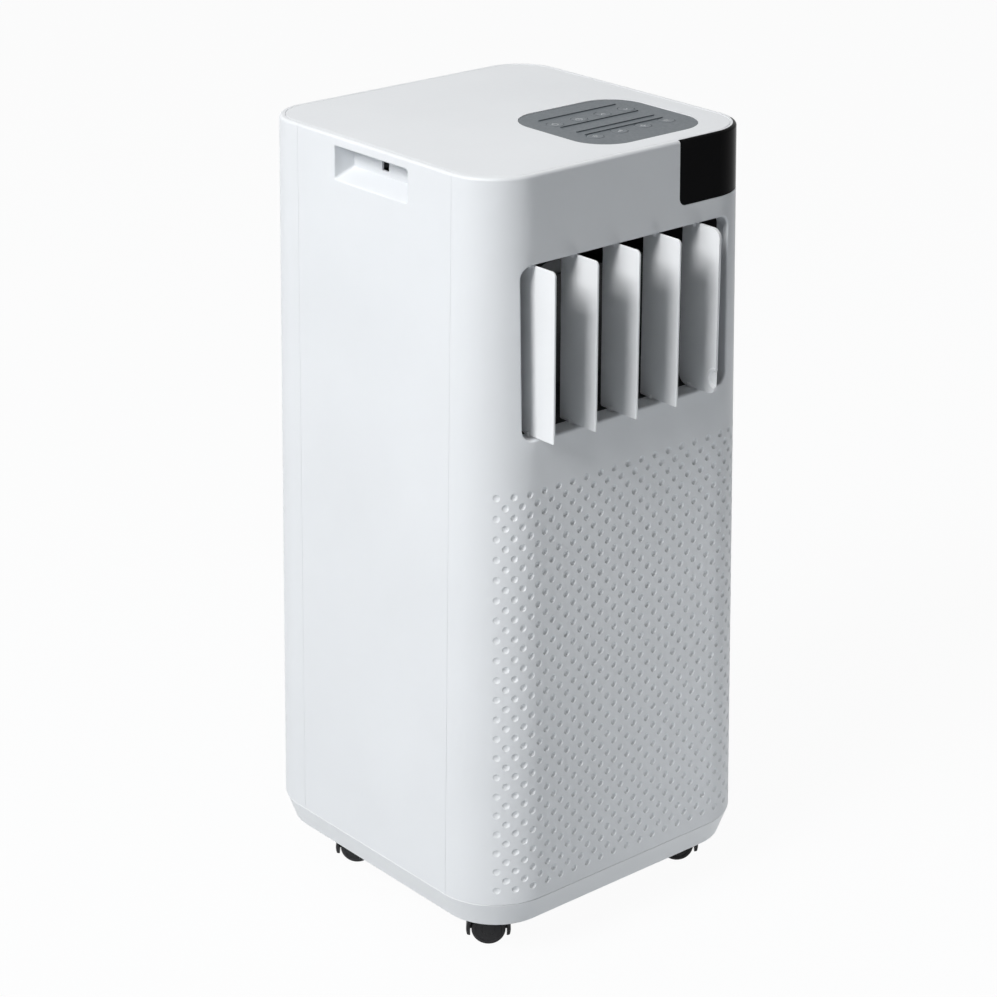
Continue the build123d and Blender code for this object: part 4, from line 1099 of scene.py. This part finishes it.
def makeVane(number):
    # plate that stands square to the front, on its pivot at the origin
    isLead = number == leadVane
    low, high = vane["low"], vane["high"]
    plate = roundedBlock(
        (vane["thickness"], vane["front"] + vane["rear"], high - low),
        vane["leadCorner"] if isLead else vane["corner"],
        0,
        (0, (vane["rear"] - vane["front"]) / 2, (low + high) / 2),
        steps=vane["cornerSteps"],
        test=lambda co: co.y < 0 and (isLead or co.z > 0),
    )
    rearCorner = vane["endCorner"] if number in (1, leadVane) else vane["rearCorner"]
    bevelEdges(plate, lambda co: near(co.y, vane["rear"]), rearCorner, vane["cornerSteps"], 0)
    parts = [makeNotch(plate)] if isLead else []
    softenEdges(plate, vane["edge"], 3)
    parts += [
        uprightRod(vane["boss"], low, low + vane["bossLength"]),
        uprightRod(vane["boss"], high - vane["bossLength"], high),
        uprightRod(vane["pivot"], vane["pivotLow"], low + vane["overlap"]),
        uprightRod(vane["pivot"], high - vane["overlap"], vane["crankLow"]),
    ]
    reach, width, thickness = vane["crankReach"], vane["crankWidth"], vane["crankThickness"]
    place = (reach / 2, 0, vane["crankLow"] + thickness / 2)
    crank = barBlock((reach + width, width, thickness), 2, place)
    moveMesh(crank, turn=(0, 0, vane["crankTurn"]))
    softenEdges(crank, vane["rodEdge"])
    pinX, pinY = reach * math.cos(vane["crankTurn"]), reach * math.sin(vane["crankTurn"])
    parts += [crank, uprightRod(vane["pin"], vane["crankLow"], vane["pinTop"], pinX, pinY, 24)]
    return joinAll([plate] + parts)


for number in range(1, leadVane + 1):
    piece = makeVane(number)
    moveMesh(piece, (vane["firstPivot"] + vane["pitch"] * (number - 1), vane["pivotY"], 0))
    # the vanes take the lighter copy of the white shell: painted light on plates that sit in the shade of the
    # mouth
    finishPiece(piece, f"vane{number}", finish="white_painted_lighter")
print("vanes done")

caster = {
    "places": {
        "FrontLeft": (-110.0, -91.0), "FrontRight": (110.0, -91.0),
        "RearLeft": (-110.0, 91.0), "RearRight": (110.0, 91.0),
    },
    "heading": math.radians(-40.3), "axle": (9.0, 0.0, 14.5),
    "hood": 19.0, "hoodHalf": 13.1, "hoodRound": 2.0, "pocket": 16.2, "web": 2.0, "skirt": 9.5, "edge": 0.4,
    # neck and stem by radius and height, a roller by radius and place along the axle
    "neck": [
        (0, 22.5), (9.5, 22.5), (8.6, 30.5), (8.0, 37.7), (7.4, 38.7), (3.9, 38.7), (3.9, 55.1), (3.3, 55.7),
        (0, 55.7),
    ],
    "roller": [
        (2.0, 2.6), (13.1, 2.6), (14.1, 3.0), (14.5, 4.0), (14.5, 11.1), (14.05, 12.15), (13.0, 12.6),
        (11.5, 12.6), (11.0, 11.9), (5.6, 11.7), (5.1, 12.35), (4.4, 12.6), (0, 12.6), (0, 10.1), (2.0, 10.1),
        (2.0, 2.6),
    ],
    "rollerSteps": 64,
}


def crossCylinder(radius, length, middle=0.0):
    # cylinder across the caster, on the line of its axle
    place = Vector(caster["axle"]) + Vector((0, middle, 0))
    return cylinder(radius, length, place, lieDown, 64)


def makeHood():
    # drum over both rollers, hollowed from each side, cut off below and carried by a neck
    drum = crossCylinder(caster["hood"], 2 * caster["hoodHalf"])
    softenEdges(drum, caster["hoodRound"], 4, 60)
    for side in (1, -1):
        middle = side * (caster["web"] + cutLength / 2)
        cutWith(drum, crossCylinder(caster["pocket"], cutLength, middle))
    keepAbove(drum, (0, 0, caster["skirt"]), (0, 0, 1))
    faceOut(drum)
    softenEdges(drum, caster["edge"])
    clearScraps(drum)
    neck = moveMesh(turnedForm(caster["neck"]), turn=lieDown)
    cutWith(neck, crossCylinder(caster["pocket"], 2 * caster["hoodHalf"] + 2))
    return joinAll([drum, neck])


def makeRollers():
    discs = []
    for turn in (0, math.pi):
        disc = turnedForm(caster["roller"], caster["rollerSteps"])
        discs.append(moveMesh(disc, caster["axle"], (0, 0, turn)))
    return joinAll(discs)


hoodModel, rollerModel = makeHood(), makeRollers()
for corner, place in caster["places"].items():
    for model, name in ((hoodModel, "casterHood"), (rollerModel, "casterRollers")):
        piece = moveMesh(copyOf(model), (*place, 0), (0, 0, caster["heading"]))
        finishPiece(piece, name + corner)
for model in (hoodModel, rollerModel):
    bpy.data.objects.remove(model)
print("casters done")

# stage: pale floor, soft light from the left and above, and the camera
stageSet = {
    "floorSize": 30.0, "floorTone": (0.515, 0.545, 0.572),
    "paper": 1.01, "paperShare": 0.945, "skyTone": 0.97,
    "fillTone": (0.95, 0.98, 1.0), "fill": 0.015,
    "backFill": 1.0, "backSpread": (0.35, 1.0), "backWay": (0.65, 0.76, 0.0),  # away from the camera
}
lamps = {
    "keyLight": {"place": (-5.08, -0.64, 4.46), "aim": (0, 0, 0.4), "size": (2.5, 2.5), "power": 398.0},
    "lowLight": {"place": (0.34, -0.8, 0.07), "aim": (0, -0.15, 0.08), "size": (0.5, 0.12), "power": 1.22},
    "topLight": {"place": (-0.9, 0.08, 2.9), "aim": (0, 0, 0.6), "size": (1.8, 1.8), "power": 15.0},
}
shot = {
    "place": (-1.4146, -1.6578, 1.2389), "tilt": math.radians(67.711), "heading": math.radians(-40.274),
    "lens": 99.91, "sensor": 36.0, "farthest": 60.0,
}


def seenDirectly(tree):
    # output that is 1 for rays from the camera and for mirrored or refracted ones
    light = addNode(tree, "LightPath")
    seen = (light, "Is Camera Ray")
    for label in ("Is Glossy Ray", "Is Transmission Ray"):
        either = addNode(tree, "Math", operation="MAXIMUM")
        linkUp(tree, [(*seen, either, 0), (light, label, either, 1)])
        seen = (either, 0)
    return seen


def mixSurface(tree, factor, lit, seen, output):
    mix = addNode(tree, "MixShader")
    target = addNode(tree, output)
    linkUp(tree, [(*factor, mix, 0), (lit, 0, mix, 1), (seen, 0, mix, 2), (mix, 0, target, "Surface")])


def makeFloor():
    bpy.ops.mesh.primitive_plane_add(size=stageSet["floorSize"], location=(0, 0, 0))
    floor = bpy.context.object
    floor.name = "floor"
    paper = bpy.data.materials.new("paper")
    paper.use_nodes = True
    tree = paper.node_tree
    tree.nodes.clear()
    matte = addNode(tree, "BsdfDiffuse", {"Color": (*stageSet["floorTone"], 1)})
    glow = addNode(tree, "Emission", {"Color": (stageSet["paper"],) * 3 + (1,)})
    share = addNode(tree, "Math", {1: stageSet["paperShare"]}, operation="MULTIPLY")
    linkUp(tree, [(*seenDirectly(tree), share, 0)])
    mixSurface(tree, (share, 0), matte, glow, "OutputMaterial")
    floor.data.materials.append(paper)


def makeWorld():
    world = bpy.data.worlds.new("studio")
    bpy.context.scene.world = world
    world.use_nodes = True
    tree = world.node_tree
    tree.nodes.clear()
    fill = addNode(tree, "Background", {"Color": (*stageSet["fillTone"], 1)})
    # weak light all round, stronger from behind for the sides that the lamps miss
    way = addNode(tree, "TexCoord")
    facing = addNode(tree, "VectorMath", {1: stageSet["backWay"]}, operation="DOT_PRODUCT")
    strength = rangeNode(tree, stageSet["fill"], stageSet["backFill"], *stageSet["backSpread"])
    paper = addNode(tree, "Background", {"Color": (stageSet["skyTone"],) * 3 + (1,)})
    linkUp(tree, [
        (way, "Generated", facing, 0),
        (facing, "Value", strength, "Value"),
        (strength, "Result", fill, "Strength"),
    ])
    mixSurface(tree, seenDirectly(tree), fill, paper, "OutputWorld")


def addSoftbox(name, place, aim, size, power):
    bpy.ops.object.light_add(type="AREA", location=place)
    lamp = bpy.context.object
    lamp.name = name
    lamp.data.shape = "RECTANGLE"
    lamp.data.size, lamp.data.size_y = size
    lamp.data.energy = power
    lamp.rotation_euler = (Vector(aim) - Vector(place)).to_track_quat("-Z", "Y").to_euler()


makeFloor()
makeWorld()
for name, lamp in lamps.items():
    addSoftbox(name, **lamp)
bpy.ops.object.camera_add(location=shot["place"], rotation=(shot["tilt"], 0, shot["heading"]))
camera = bpy.context.object
camera.data.lens = shot["lens"]
camera.data.sensor_width = shot["sensor"]
camera.data.clip_end = shot["farthest"]
bpy.context.scene.camera = camera
bpy.context.scene.view_settings.view_transform = "Standard"

print("scene ready")
